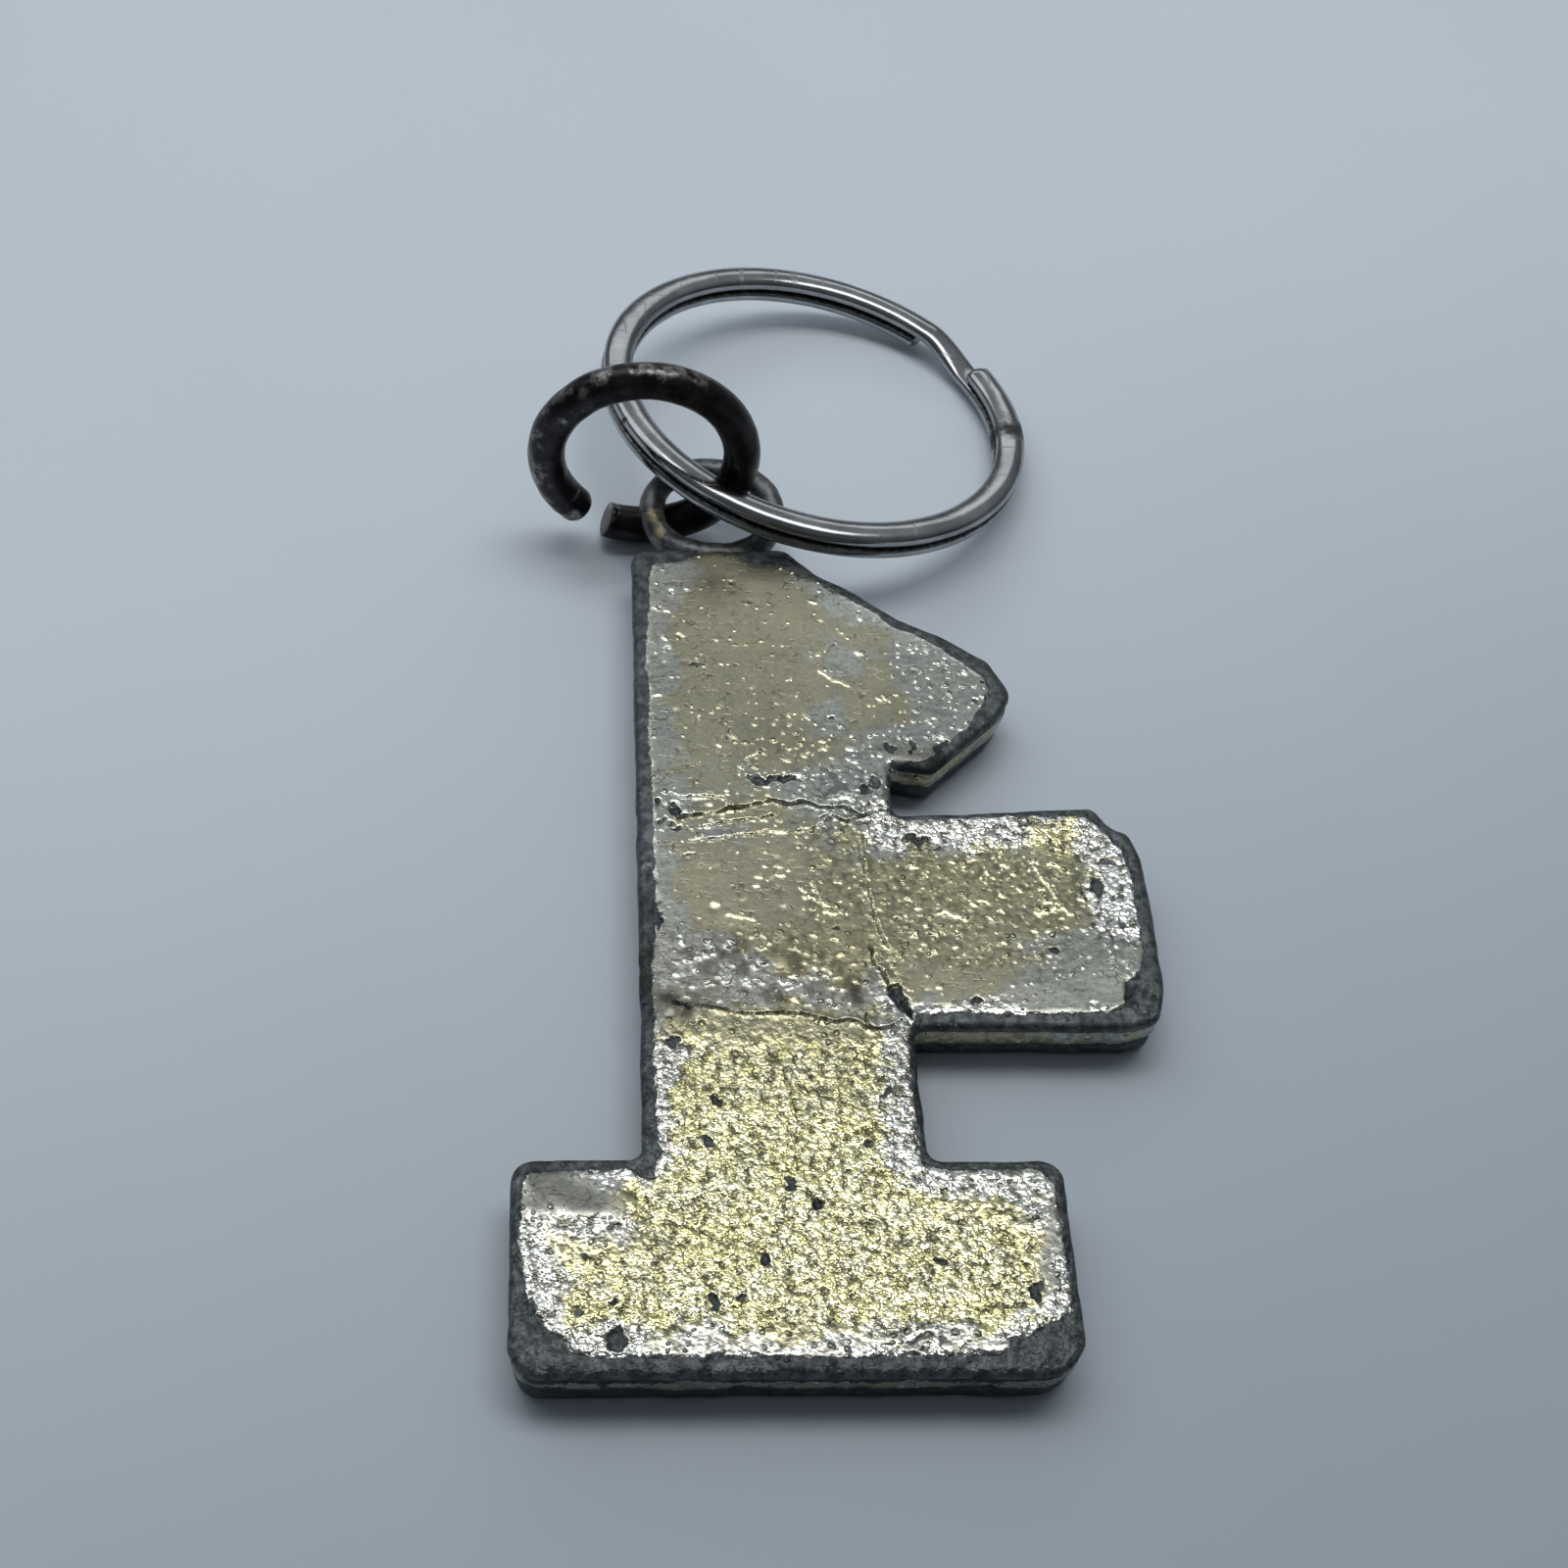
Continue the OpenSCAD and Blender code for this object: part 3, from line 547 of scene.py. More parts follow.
    # loops that draw the border line
    dg = seg_dist(inner, RING, np.roll(RING, -1, 0))
    inner_f = hexgrid(x0, x1, y0, y1, 0.17, 10)
    inner_f = inner_f[inside(inner_f, base)]
    df = seg_dist(inner_f, RING, np.roll(RING, -1, 0))
    keep_f = inner_f[(df > 1.28) & (df < 2.32)]
    inner = np.vstack([inner[(dg <= 1.18) | (dg >= 2.42)], keep_f])
    Vb, Fb, rb = triangulate(base, inner)
    db = seg_dist(Vb, RING, np.roll(RING, -1, 0))
    B3 = np.column_stack([Vb, np.zeros(len(Vb))])
    groove = smooth(1.42, 1.62, db) * (1 - smooth(1.98, 2.18, db))
    zb = 0.33 * groove + 0.012 * np.maximum(vnoise(B3, 1.3, 91) + 0.6 * vnoise(B3, 0.5, 92), 0)
    zb[rb] = 0
    bottom = np.column_stack([Vb, zb])
    remap = np.arange(len(Vb)) + count
    for k, j in enumerate(rb):
        remap[j] = prev[k]
    keep = np.ones(len(Vb), bool); keep[rb] = False
    new = np.cumsum(keep) - 1 + count
    remap[keep] = new[keep]
    verts.append(bottom[keep])
    faces.append(remap[Fb][:, ::-1])
    kb = keep
    sdb = (db[kb] - 0.9) + 0.25 * vnoise(B3[kb], 0.7, 93)
    a_plate.append(np.where(groove[kb] > 0.35, -0.1 + 0.1 * vnoise(B3[kb], 0.5, 94), sdb))
    a_gold.append(db[kb] - 2.3 + 0.5 * vnoise(B3[kb], 2.2, 95))
    a_spark.append(np.full(kb.sum(), 0.08))
    a_dark.append(0.55 * groove[kb])

    P = np.vstack(verts)
    Fa = np.vstack(faces)
    plate = np.concatenate(a_plate); gold = np.concatenate(a_gold)
    spark = np.concatenate(a_spark); dark = np.concatenate(a_dark)
    # lumps of the bare casting, along the surface's own direction
    N = np.zeros_like(P)
    fn = np.cross(P[Fa[:, 1]] - P[Fa[:, 0]], P[Fa[:, 2]] - P[Fa[:, 0]])
    for k in range(3):
        np.add.at(N, Fa[:, k], fn)
    N /= np.maximum(np.linalg.norm(N, axis=1), 1e-12)[:, None]
    bare = 1 - smooth(-0.05, 0.15, plate)
    lump = 0.045 * vnoise(P, 1.3, 101) + 0.028 * vnoise(P, 0.55, 102) + 0.012 * vnoise(P, 0.26, 103)
    lump = (lump - 0.03) * bare * smooth(0.05, 0.5, P[:, 2]) * (1 - 0.45 * smooth(T - RIM - 0.5, T - RIM - 0.1, P[:, 2]))
    P = P + N * lump[:, None]
    P[:, 2] = np.maximum(P[:, 2], 0.0)
    return P, Fa, dict(plate=plate, gold=gold, spark=spark, dark=dark)

def make_object(name, P, F, attrs, smooth_shade=True):
    me = bpy.data.meshes.new(name)
    me.from_pydata((np.asarray(P) * MM).tolist(), [], [tuple(int(i) for i in f) for f in F])
    me.update()
    me.validate()
    for key, val in attrs.items():
        a = me.attributes.new(key, "FLOAT", "POINT")
        a.data.foreach_set("value", np.asarray(val, np.float32))
    me.polygons.foreach_set("use_smooth", [smooth_shade] * len(me.polygons))
    ob = bpy.data.objects.new(name, me)
    scene.collection.objects.link(ob)
    return ob

# ---------------------------------------------------------------- swept wires
def sweep(path, radial, axial, sect, closed=False, cap=True):
    """path (n,3); radial and axial unit vectors at each point; sect(i) gives (m,2) offsets along them."""
    n = len(path)
    rows = []
    for i in range(n):
        s = sect(i)
        rows.append(path[i] + s[:, :1] * radial[i] + s[:, 1:] * axial[i])
    m = len(rows[0])
    P = np.vstack(rows)
    F = []
    last = n if closed else n - 1
    for i in range(last):
        a, b = i * m, ((i + 1) % n) * m
        for j in range(m):
            k = (j + 1) % m
            F.append((a + j, b + j, b + k, a + k))
    if not closed and cap:
        F.append(tuple(range(m)))
        F.append(tuple((n - 1) * m + j for j in range(m))[::-1])
    return P, F, m

def orient(P, F):
    """Turns all faces so that the closed solid's volume is positive."""
    v = 0.0
    for f in F:
        a = P[f[0]]
        for k in range(1, len(f) - 1):
            v += float(np.dot(a, np.cross(P[f[k]], P[f[k + 1]])))
    return F if v > 0 else [tuple(f[::-1]) for f in F]

def make_eyelet():
    # Same loop as the CAD limb, from the node's own box: it leans up off the face.
    limb = 0.75
    lift = radians(10)
    cx = (eye_lo[0] + eye_hi[0]) / 2
    bend = 2.9
    half = (eye_hi[0] - eye_lo[0]) / 2 - limb - bend
    root = np.array([cx, TOP - 0.05, 2.5])
    mid_y = 2.75
    ey = np.array([0, cos(lift), sin(lift)]); ez = np.array([0, -sin(lift), cos(lift)]); ex = np.array([1.0, 0, 0])
    c = root + ey * mid_y
    pts, rad = [], []
    n = 168
    per = 2 * pi * bend + 4 * half
    for i in range(n):
        s = per * i / n
        # start in the middle of the lower run and go towards -X
        if s < half:
            p, r = (-s, -bend), (0, -1)
        elif s < half + pi * bend:
            a = (s - half) / bend
            p, r = (-half - bend * sin(a), -bend * cos(a)), (-sin(a), -cos(a))
        elif s < 3 * half + pi * bend:
            t = s - half - pi * bend
            p, r = (-half + t, bend), (0, 1)
        elif s < 3 * half + 2 * pi * bend:
            a = (s - 3 * half - pi * bend) / bend
            p, r = (half + bend * sin(a), bend * cos(a)), (sin(a), cos(a))
        else:
            t = s - 3 * half - 2 * pi * bend
            p, r = (half - t, -bend), (0, -1)
        pts.append(c + ex * p[0] + ey * p[1])
        rad.append(ex * r[0] + ey * r[1])
    pts, rad = np.array(pts), np.array(rad)
    local = (pts - c) @ np.stack([ex, ey, ez], 1)
    low = smooth(-0.9, -bend, local[:, 1])
    # slimmer at the far run, stouter where it grows out of the casting
    r_lim = limb * (0.97 - 0.06 * smooth(0.5, bend, local[:, 1]) + 0.10 * low)
    m = 36
    th = np.arange(m) * 2 * pi / m
    def sect(i):
        return np.stack([r_lim[i] * np.cos(th), r_lim[i] * np.sin(th)], 1)
    P, F, m = sweep(pts, rad, np.tile(ez, (n, 1)), sect, closed=True)
    F = orient(P, F)
    C = np.repeat(pts, m, 0)
    N = P - C
    N /= np.linalg.norm(N, axis=1)[:, None]
    d = 0.045 * vnoise(P, 1.3, 201) + 0.030 * vnoise(P, 0.6, 202) + 0.012 * vnoise(P, 0.28, 203)
    P = P + N * (d - 0.035)[:, None]
    up = N @ ez
    left = smooth(cx - 1.9, cx - 3.0, P[:, 0]) * smooth(c[1] + 0.6, c[1] - 1.0, P[:, 1])
    wear = 0.46 * left * smooth(0.2, 0.9, up + 0.45 * vnoise(P, 0.7, 204)) + 0.08 * smooth(0.75, 1.0, up)
    return P, F, dict(wear=wear)

def make_eyelet_root():
    """The web of metal where the eyelet's limbs run down into the casting's upper edge."""
    lift = radians(10)
    cx = (eye_lo[0] + eye_hi[0]) / 2
    P, F = [], []
    ey = np.array([0, cos(lift), sin(lift)])
    n, m = 46, 22
    xs = np.linspace(cx - 2.9, cx + 2.95, n)
    base = 0
    for i, x in enumerate(xs):
        t = (x - cx) / 2.95
        end = sqrt(max(0.0, 1 - abs(t) ** 6))
        ry = (0.62 + 0.26 * abs(t) ** 2) * end + 0.02
        rz = (0.78 - 0.04 * abs(t)) * end + 0.02
        yc = TOP - 0.32 + 0.12 * t * t
        zc = T - 0.92
        for j in range(m):
            a = 2 * pi * j / m
            P.append((x, yc + ry * cos(a), zc + rz * sin(a)))
    P = np.array(P)
    for i in range(n - 1):
        for j in range(m):
            k = (j + 1) % m
            F.append((i * m + j, (i + 1) * m + j, (i + 1) * m + k, i * m + k))
    F.append(tuple(range(m)))
    F.append(tuple((n - 1) * m + j for j in range(m))[::-1])
    F = orient(P, F)
    C = np.column_stack([P[:, 0], np.full(len(P), TOP - 0.3), np.full(len(P), T - 0.92)])
    N = P - C
    N /= np.maximum(np.linalg.norm(N, axis=1), 1e-9)[:, None]
    d = 0.06 * vnoise(P, 1.0, 211) + 0.03 * vnoise(P, 0.45, 212)
    P = P + N * d[:, None]
    wear = 0.2 * smooth(0.5, 1.0, N[:, 2])
    return P, F, dict(wear=wear)

def make_jump():
    """Round wire bent round once, its two ends a little apart and out of line."""
    wire = float(jmp_hi[1] - jmp_lo[1]) / 2
    R = float(jmp_hi[2] - jmp_lo[2]) / 2 - wire
    c = jump_c
    cut, worn = radians(-21), radians(-43.6)
    a0, a1 = cut, worn + 2 * pi
    n = 380
    ang = np.linspace(a0, a1, n)
    ex, ez, ey = np.array([1.0, 0, 0]), np.array([0, 0, 1.0]), np.array([0, 1.0, 0])
    # the worn end runs on past, tapering to a blunt nose
    nose = np.linspace(0, 0.78, 15)[1:]
    path, rad, scale = [], [], []
    for a in ang:
        r = ex * sin(a) - ez * cos(a)
        path.append(c + R * r); rad.append(r); scale.append(1.0)
    a = a1
    tang = ex * cos(a) + ez * sin(a)
    r_end = rad[-1]
    for s in nose:
        path.append(c + R * r_end + tang * s)
        rad.append(r_end)
        scale.append(sqrt(max(0.0, 1 - (s / 0.80) ** 2.6)) * (1 - 0.10 * s))
    # square-cut end: a tiny chamfer
    path, rad, scale = np.array(path), np.array(rad), np.array(scale)
    scale[0], scale[1] = 0.90, 0.985
    path[1] = path[0] + (path[1] - path[0]) * 0.35
    m = 40
    th = np.arange(m) * 2 * pi / m
    def sect(i):
        return np.stack([wire * scale[i] * np.cos(th), wire * scale[i] * np.sin(th)], 1)
    P, F, m = sweep(path, rad, np.tile(ey, (len(path), 1)), sect)
    F = orient(P, F)
    C = np.repeat(path, m, 0)
    S = np.repeat(scale, m)
    N = P - C
    N /= np.maximum(np.linalg.norm(N, axis=1), 1e-9)[:, None]
    d = 0.022 * vnoise(P, 1.6, 301) + 0.012 * vnoise(P, 0.6, 302) - 0.024
    # flats and rubs where it turns on the other pieces
    f1, own = cells(np.column_stack([P[:, 0] + P[:, 1] * 0.7, P[:, 2] - P[:, 1] * 0.3]), 1.5, 11)
    d -= 0.035 * (own > 0.7) * np.exp(-(f1 / 0.28) ** 2)
    P = P + N * (np.maximum(d, -0.09) * np.minimum(1, S * 1.2))[:, None]
    P[:, 2] = np.maximum(P[:, 2], jmp_lo[2])
    out = (C - c) / R
    up = N[:, 2]
    leftness = smooth(-0.2, -0.9, (C - c)[:, 0] / R)
    # lighter metal: on the upper half's upward faces it is painted highlight; on the left side and at the cut ends it
    # is wear
    wear = 0.75 * smooth(0.35, 0.95, up + 0.3 * vnoise(P, 1.0, 303)) * smooth(-0.2, 0.7, (C - c)[:, 2] / R) \
        + 0.6 * leftness * smooth(0.2, 0.9, -N[:, 0] * 0.6 - N[:, 1] * 0.6 + 0.3 * vnoise(P, 0.8, 304))
    tip = np.repeat((np.arange(len(path)) > n - 14).astype(float), m)
    stub = np.repeat((np.arange(len(path)) < 7).astype(float), m)
    wear = np.maximum(wear, tip * (0.55 + 0.3 * vnoise(P, 0.5, 305)))
    wear = np.maximum(wear, stub * (0.45 + 0.35 * up))
    return P, F, dict(wear=np.clip(wear, 0, 1))

def make_split():
    """Half-round wire wound twice, the upper turn stepping down to the lower past both ends."""
    nvec = np.array([0.17, 0.088, 0.98]); nvec /= np.linalg.norm(nvec)
    u = np.array([1, 0, -nvec[0] / nvec[2]]); u /= np.linalg.norm(u)
    v = np.cross(nvec, u)
    w, t = 0.85, 0.44
    R = 12.5 - w
    lev = 0.46
    a0, a1, s0, s1 = 27.0, -669.0, -311.0, -330.5
    n = 760
    ang = np.linspace(a0, a1, n)
    # section: flat inner sides, crowned outward on the free face
    k = 11
    def half(sign, free):
        pts = []
        for j in range(k + 1):
            q = pi * j / k
            x = -w * cos(q)
            y = sign * t * (abs(sin(q)) ** (1.0 if sign == free else 0.35))
            pts.append((x, y))
        return pts
    sec_up = np.array(half(1, 1) + half(-1, 1)[::-1][1:-1])       # upper turn: crowned on top
    sec_dn = np.array(half(1, -1) + half(-1, -1)[::-1][1:-1])     # lower turn: crowned underneath
    m = len(sec_up)
    turn = []
    path, rad, tw = [], [], []
    for a in ang:
        s = float(smooth(0, 1, (a - s0) / (s1 - s0)))
        hgt = lev * (1 - 2 * s)
        q = radians(a)
        r = u * cos(q) + v * sin(q)
        path.append(split_c + R * r + nvec * hgt)
        rad.append(r)
        turn.append(s)
    path, rad = np.array(path), np.array(rad)
    end = np.ones(n)
    end[0], end[1], end[-1], end[-2] = 0.86, 0.96, 0.86, 0.96
    path[1] = path[0] + (path[1] - path[0]) * 0.3
    path[-2] = path[-1] + (path[-2] - path[-1]) * 0.3
    def sect(i):
        return (sec_up * (1 - turn[i]) + sec_dn * turn[i]) * end[i]
    P, F, m = sweep(path, rad, np.tile(nvec, (n, 1)), sect)
    F = orient(P, F)
    C = np.repeat(path, m, 0)
    N = P - C
    N /= np.maximum(np.linalg.norm(N, axis=1), 1e-9)[:, None]
    d = 0.010 * vnoise(P, 2.2, 401) + 0.005 * vnoise(P, 0.7, 402) - 0.010
    P = P + N * d[:, None]
    P[:, 2] = np.maximum(P[:, 2], spl_lo[2])
    A = np.repeat(ang, m)
    am = (A + 720) % 360
    offs = (P - C) @ nvec
    upper = np.repeat(((ang > (s0 + s1) / 2)).astype(float), m)
    # old stain on the right; painted shade where the two turns meet, painted shadow of the jump ring where it crosses,
    # and the cut ends a little darker
    stain = np.exp(-((np.minimum(np.abs(am - 359), np.abs(am + 1))) / 5.2) ** 2) * (0.75 + 0.5 * vnoise(P, 0.7, 403))
    jump_ring_shadow = np.exp(-((am - 203) / 1.3) ** 2) * smooth(0.1, 0.5, vnoise(P, 0.6, 404)) * 0.9
    jump_ring_shadow = np.maximum(jump_ring_shadow, np.exp(-((am - 207) / 1.2) ** 2) * smooth(0.0, 0.5, vnoise(P, 0.5, 405)) * 0.9)
    # painted shade: the faces where the two turns meet are painted dark
    groove = np.where(upper > 0.5, smooth(-0.05, -0.4, offs), smooth(0.05, 0.4, offs)) * 0.75
    groove = groove * (1 - smooth(-337, -334, A) * smooth(-300, -304, A))
    endmark = np.repeat((np.minimum(np.arange(n), n - 1 - np.arange(n)) < 2).astype(float), m) * 0.25
    return P, F, dict(stain=np.clip(stain, 0, 1), shade_and_end_marks=np.clip(np.maximum(np.maximum(jump_ring_shadow, groove), endmark), 0, 1))

# ---------------------------------------------------------------- materials
class Tree:
    def __init__(self, name):
        self.m = bpy.data.materials.new(name)
        self.m.use_nodes = True
        self.t = self.m.node_tree
        self.t.nodes.clear()
        self.out = self.t.nodes.new("ShaderNodeOutputMaterial")
        self.b = self.t.nodes.new("ShaderNodeBsdfPrincipled")
        self.t.links.new(self.b.outputs[0], self.out.inputs[0])
        self.co = self.t.nodes.new("ShaderNodeTexCoord").outputs["Object"]
        part = self.t.nodes.new("ShaderNodeSeparateXYZ")
        self.t.links.new(self.co, part.inputs[0])
        self.height = part.outputs["Y"]
    def link(self, a, b):
        self.t.links.new(a, b)
    def put(self, sock, val):
        if hasattr(val, "default_value") or hasattr(val, "is_output"):
            self.link(val, sock)
        else:
            sock.default_value = val
    def attr(self, name):
        n = self.t.nodes.new("ShaderNodeAttribute")
        n.attribute_name = name
        return n.outputs["Fac"]
    def noise(self, size_mm, detail=3.0, rough=0.55, dist=0.0, co=None):
        n = self.t.nodes.new("ShaderNodeTexNoise")
        n.inputs["Scale"].default_value = 1000.0 / size_mm
        n.inputs["Detail"].default_value = detail
        n.inputs["Roughness"].default_value = rough
        n.inputs["Distortion"].default_value = dist
        self.link(co or self.co, n.inputs["Vector"])
        return n.outputs["Fac"]
    def cell(self, size_mm, feature="F1", co=None, what="Distance", randomness=1.0):
        n = self.t.nodes.new("ShaderNodeTexVoronoi")
        n.feature = feature
        n.inputs["Scale"].default_value = 1000.0 / size_mm
        n.inputs["Randomness"].default_value = randomness
        self.link(co or self.co, n.inputs["Vector"])
        return n.outputs[what]
    def stretch(self, sx, sy, sz, rot=(0, 0, 0)):
        n = self.t.nodes.new("ShaderNodeMapping")
        n.inputs["Scale"].default_value = (sx, sy, sz)
        n.inputs["Rotation"].default_value = rot
        self.link(self.co, n.inputs["Vector"])
        return n.outputs[0]
    def math(self, op, a, b=None, c=None):
        n = self.t.nodes.new("ShaderNodeMath")
        n.operation = op
        self.put(n.inputs[0], a)
        if b is not None:
            self.put(n.inputs[1], b)
        if c is not None:
            self.put(n.inputs[2], c)
        return n.outputs[0]
    def remap(self, x, a, b, lo=0.0, hi=1.0, kind="SMOOTHSTEP"):
        n = self.t.nodes.new("ShaderNodeMapRange")
        n.interpolation_type = kind
        n.clamp = True
        self.put(n.inputs["Value"], x)
        n.inputs["From Min"].default_value = a
        n.inputs["From Max"].default_value = b
        n.inputs["To Min"].default_value = lo
        n.inputs["To Max"].default_value = hi
        return n.outputs["Result"]
    def mix(self, f, a, b):
        n = self.t.nodes.new("ShaderNodeMix")
        n.data_type = "RGBA"
        self.put(n.inputs[0], f)
        for s, val in ((n.inputs[6], a), (n.inputs[7], b)):
            if isinstance(val, tuple):
                s.default_value = (*val, 1.0)
            else:
                self.link(val, s)
        return n.outputs[2]
    def fmix(self, f, a, b):
        n = self.t.nodes.new("ShaderNodeMix")
        n.data_type = "FLOAT"
        self.put(n.inputs[0], f)
        self.put(n.inputs[2], a)
        self.put(n.inputs[3], b)
        return n.outputs[0]
    def bump(self, height, dist_mm, strength=1.0, normal=None):
        n = self.t.nodes.new("ShaderNodeBump")
        n.inputs["Distance"].default_value = dist_mm * MM
        n.inputs["Strength"].default_value = strength
        self.link(height, n.inputs["Height"])
        if normal is not None:
            self.link(normal, n.inputs["Normal"])
        return n.outputs[0]

def plated_material():
    k = Tree("plated_casting")
    plate_a, gold_a, spark, dark_a = k.attr("plate"), k.attr("gold"), k.attr("spark"), k.attr("dark")
    n_big = k.noise(2.2, 4.0, 0.6)
    n_mid = k.noise(0.75, 5.0, 0.62)
    n_fine = k.noise(0.22, 4.0, 0.6)
    flake = k.noise(0.9, 6.0, 0.7, 0.6, k.stretch(0.7, 1.8, 1.0, (0, 0, 0.3)))
    co_w = k.t.nodes.new("ShaderNodeVectorMath"); co_w.operation = "MULTIPLY_ADD"
    nz = k.t.nodes.new("ShaderNodeTexNoise"); nz.inputs["Scale"].default_value = 2600; nz.inputs["Detail"].default_value = 2
    k.link(k.co, nz.inputs["Vector"])
    k.link(nz.outputs["Color"], co_w.inputs[0]); co_w.inputs[1].default_value = (0.00022,) * 3; k.link(k.co, co_w.inputs[2])
    # ragged edge of the plating
    p = k.math("ADD", plate_a, k.math("MULTIPLY_ADD", n_mid, 0.55, -0.275))
    p = k.math("ADD", p, k.math("MULTIPLY_ADD", n_fine, 0.22, -0.11))
    plate = k.remap(p, -0.04, 0.05)
    wk = k.t.nodes.new("ShaderNodeVectorMath"); wk.operation = "MULTIPLY_ADD"
    nw = k.t.nodes.new("ShaderNodeTexNoise"); nw.inputs["Scale"].default_value = 1300; nw.inputs["Detail"].default_value = 4
    k.link(k.co, nw.inputs["Vector"])
    k.link(nw.outputs["Color"], wk.inputs[0]); wk.inputs[1].default_value = (0.0007,) * 3
    k.link(k.stretch(0.62, 1.35, 1.0, (0, 0, 0.25)), wk.inputs[2])
    wrinkle = wk.outputs[0]
    # gold where it is left, nickel where the gold has gone
    g = k.math("ADD", gold_a, k.math("MULTIPLY_ADD", n_big, 4.6, -2.3))
    g = k.math("ADD", g, k.math("MULTIPLY_ADD", n_mid, 2.4, -1.2))
    gold = k.remap(g, -0.5, 0.6)
    tone = k.remap(n_big, 0.35, 0.65)
    gold_c = k.mix(tone, (0.55, 0.523, 0.375), (0.645, 0.605, 0.425))
    # painted highlight: where the grain sparkles the gold is painted paler, towards pale yellow
    grain_id = k.cell(0.34, "F1", co_w.outputs[0], "Color")
    grain_sparkle_c = k.mix(k.remap(grain_id, 0.30, 0.62), (0.92, 0.86, 0.43), (0.96, 0.92, 0.61))
    grain_sparkle_c = k.mix(k.math("MULTIPLY", k.remap(n_big, 0.50, 0.66), 0.55), grain_sparkle_c, (0.92, 0.84, 0.36))
    gold_c = k.mix(k.remap(spark, 0.30, 0.95), gold_c, grain_sparkle_c)
    gold_c = k.mix(k.remap(flake, 0.54, 0.74), gold_c, (0.50, 0.47, 0.36))
    silver_c = k.mix(k.remap(flake, 0.42, 0.66), (0.68, 0.70, 0.635), (0.48, 0.498, 0.455))
    calm = k.remap(spark, 0.75, 0.15)
    # painted light: the nickel is painted lighter towards the top of the numeral, its far end
    silver_c = k.mix(k.remap(k.height, 0.015, 0.021, 0.0, 0.45), silver_c, (0.86, 0.885, 0.82))
    silver_c = k.mix(k.math("MULTIPLY", k.math("MULTIPLY", k.remap(k.noise(0.26, 4.0, 0.7, 0.3), 0.55, 0.66), calm), 0.55), silver_c, (0.16, 0.17, 0.16))
    # painted highlight: the nickel is painted near white where it sparkles
    silver_c = k.mix(k.remap(spark, 0.35, 0.95), silver_c, (0.88, 0.89, 0.84))
    plated = k.mix(gold, silver_c, gold_c)
    mottle = k.noise(0.15, 4.0, 0.75)
    plated = k.mix(k.math("MULTIPLY", k.math("MULTIPLY", k.remap(mottle, 0.44, 0.68), calm), 0.42), plated, (0.34, 0.33, 0.255))
    line = k.cell(0.62, "DISTANCE_TO_EDGE", wrinkle)
    line = k.math("MULTIPLY", k.remap(line, 0.085, 0.015), k.remap(n_mid, 0.47, 0.62))
    plated = k.mix(k.math("MULTIPLY", k.math("MULTIPLY", line, calm), 0.75), plated, (0.17, 0.165, 0.13))
    stroke = k.remap(k.noise(0.30, 3.0, 0.6, 0.25, k.stretch(0.34, 1.3, 1.0, (0, 0, 0.18))), 0.62, 0.70)
    plated = k.mix(k.math("MULTIPLY", k.math("MULTIPLY", stroke, calm), 0.50), plated, (0.22, 0.215, 0.17))
    # scattered single grains that stand up and glint; their colour is painted pale, near white, a painted highlight,
    # and they are spared most of the darkening
    dot_id = k.cell(0.34, "F1", co_w.outputs[0], "Color")
    dot_r = k.cell(0.34, "F1", co_w.outputs[0])
    dot = k.remap(k.math("MULTIPLY_ADD", spark, 0.37, dot_id), 0.79, 0.84)
    dot = k.math("MULTIPLY", k.math("MULTIPLY", dot, k.remap(dot_r, 0.44, 0.02)), k.remap(spark, 0.95, 0.62))
    big_id = k.cell(0.58, "F1", co_w.outputs[0], "Color")
    big_r = k.cell(0.58, "F1", co_w.outputs[0])
    big = k.remap(k.math("MULTIPLY_ADD", spark, 0.31, big_id), 0.74, 0.77)
    big = k.math("MULTIPLY", k.math("MULTIPLY", big, k.remap(k.math("MULTIPLY_ADD", n_fine, 0.24, big_r), 0.50, 0.16)), k.math("MULTIPLY", k.remap(spark, 0.95, 0.70), k.remap(spark, 0.12, 0.40)))
    both = k.math("MAXIMUM", dot, big)
    plated = k.mix(k.math("MULTIPLY", both, 0.85), plated, k.mix(gold, (0.94, 0.94, 0.88), (0.96, 0.89, 0.50)))
    # sooty flecks between grains
    fleck = k.remap(k.noise(0.34, 4.0, 0.7), 0.60, 0.68)
    fleck = k.math("MULTIPLY", fleck, k.fmix(spark, 0.30, 0.62))
    plated = k.mix(fleck, plated, (0.16, 0.165, 0.14))
    bare = k.mix(k.remap(k.noise(0.6, 6.0, 0.7), 0.38, 0.66), (0.055, 0.064, 0.069), (0.165, 0.183, 0.190))
    base = k.mix(plate, bare, plated)
    # darkening by the dark attribute: cracks, chips, pits and darker patches, with painted shade on the walls and
    # painted shadow in the flag's notch; glinting grains are spared most of it
    soot_and_shade = k.math("MULTIPLY", dark_a, k.math("MULTIPLY_ADD", both, -0.80, 0.93))
    base = k.mix(soot_and_shade, base, (0.012, 0.013, 0.013))
    k.link(k.fmix(plate, 0.72, 1.0), k.b.inputs["Metallic"])
    rough_p = k.math("ADD", k.math("MULTIPLY_ADD", n_fine, 0.16, 0.16), k.math("MULTIPLY", calm, k.remap(k.height, 0.012, 0.022, 0.01, 0.065)))
    rough_p = k.math("ADD", rough_p, k.math("MULTIPLY", fleck, 0.25))
    rough_p = k.math("ADD", rough_p, k.math("MULTIPLY", spark, -0.06))
    rough = k.fmix(plate, k.math("MULTIPLY_ADD", n_mid, 0.30, 0.36), rough_p)
    k.link(k.fmix(k.math("MULTIPLY", dark_a, dark_a), rough, 0.85), k.b.inputs["Roughness"])
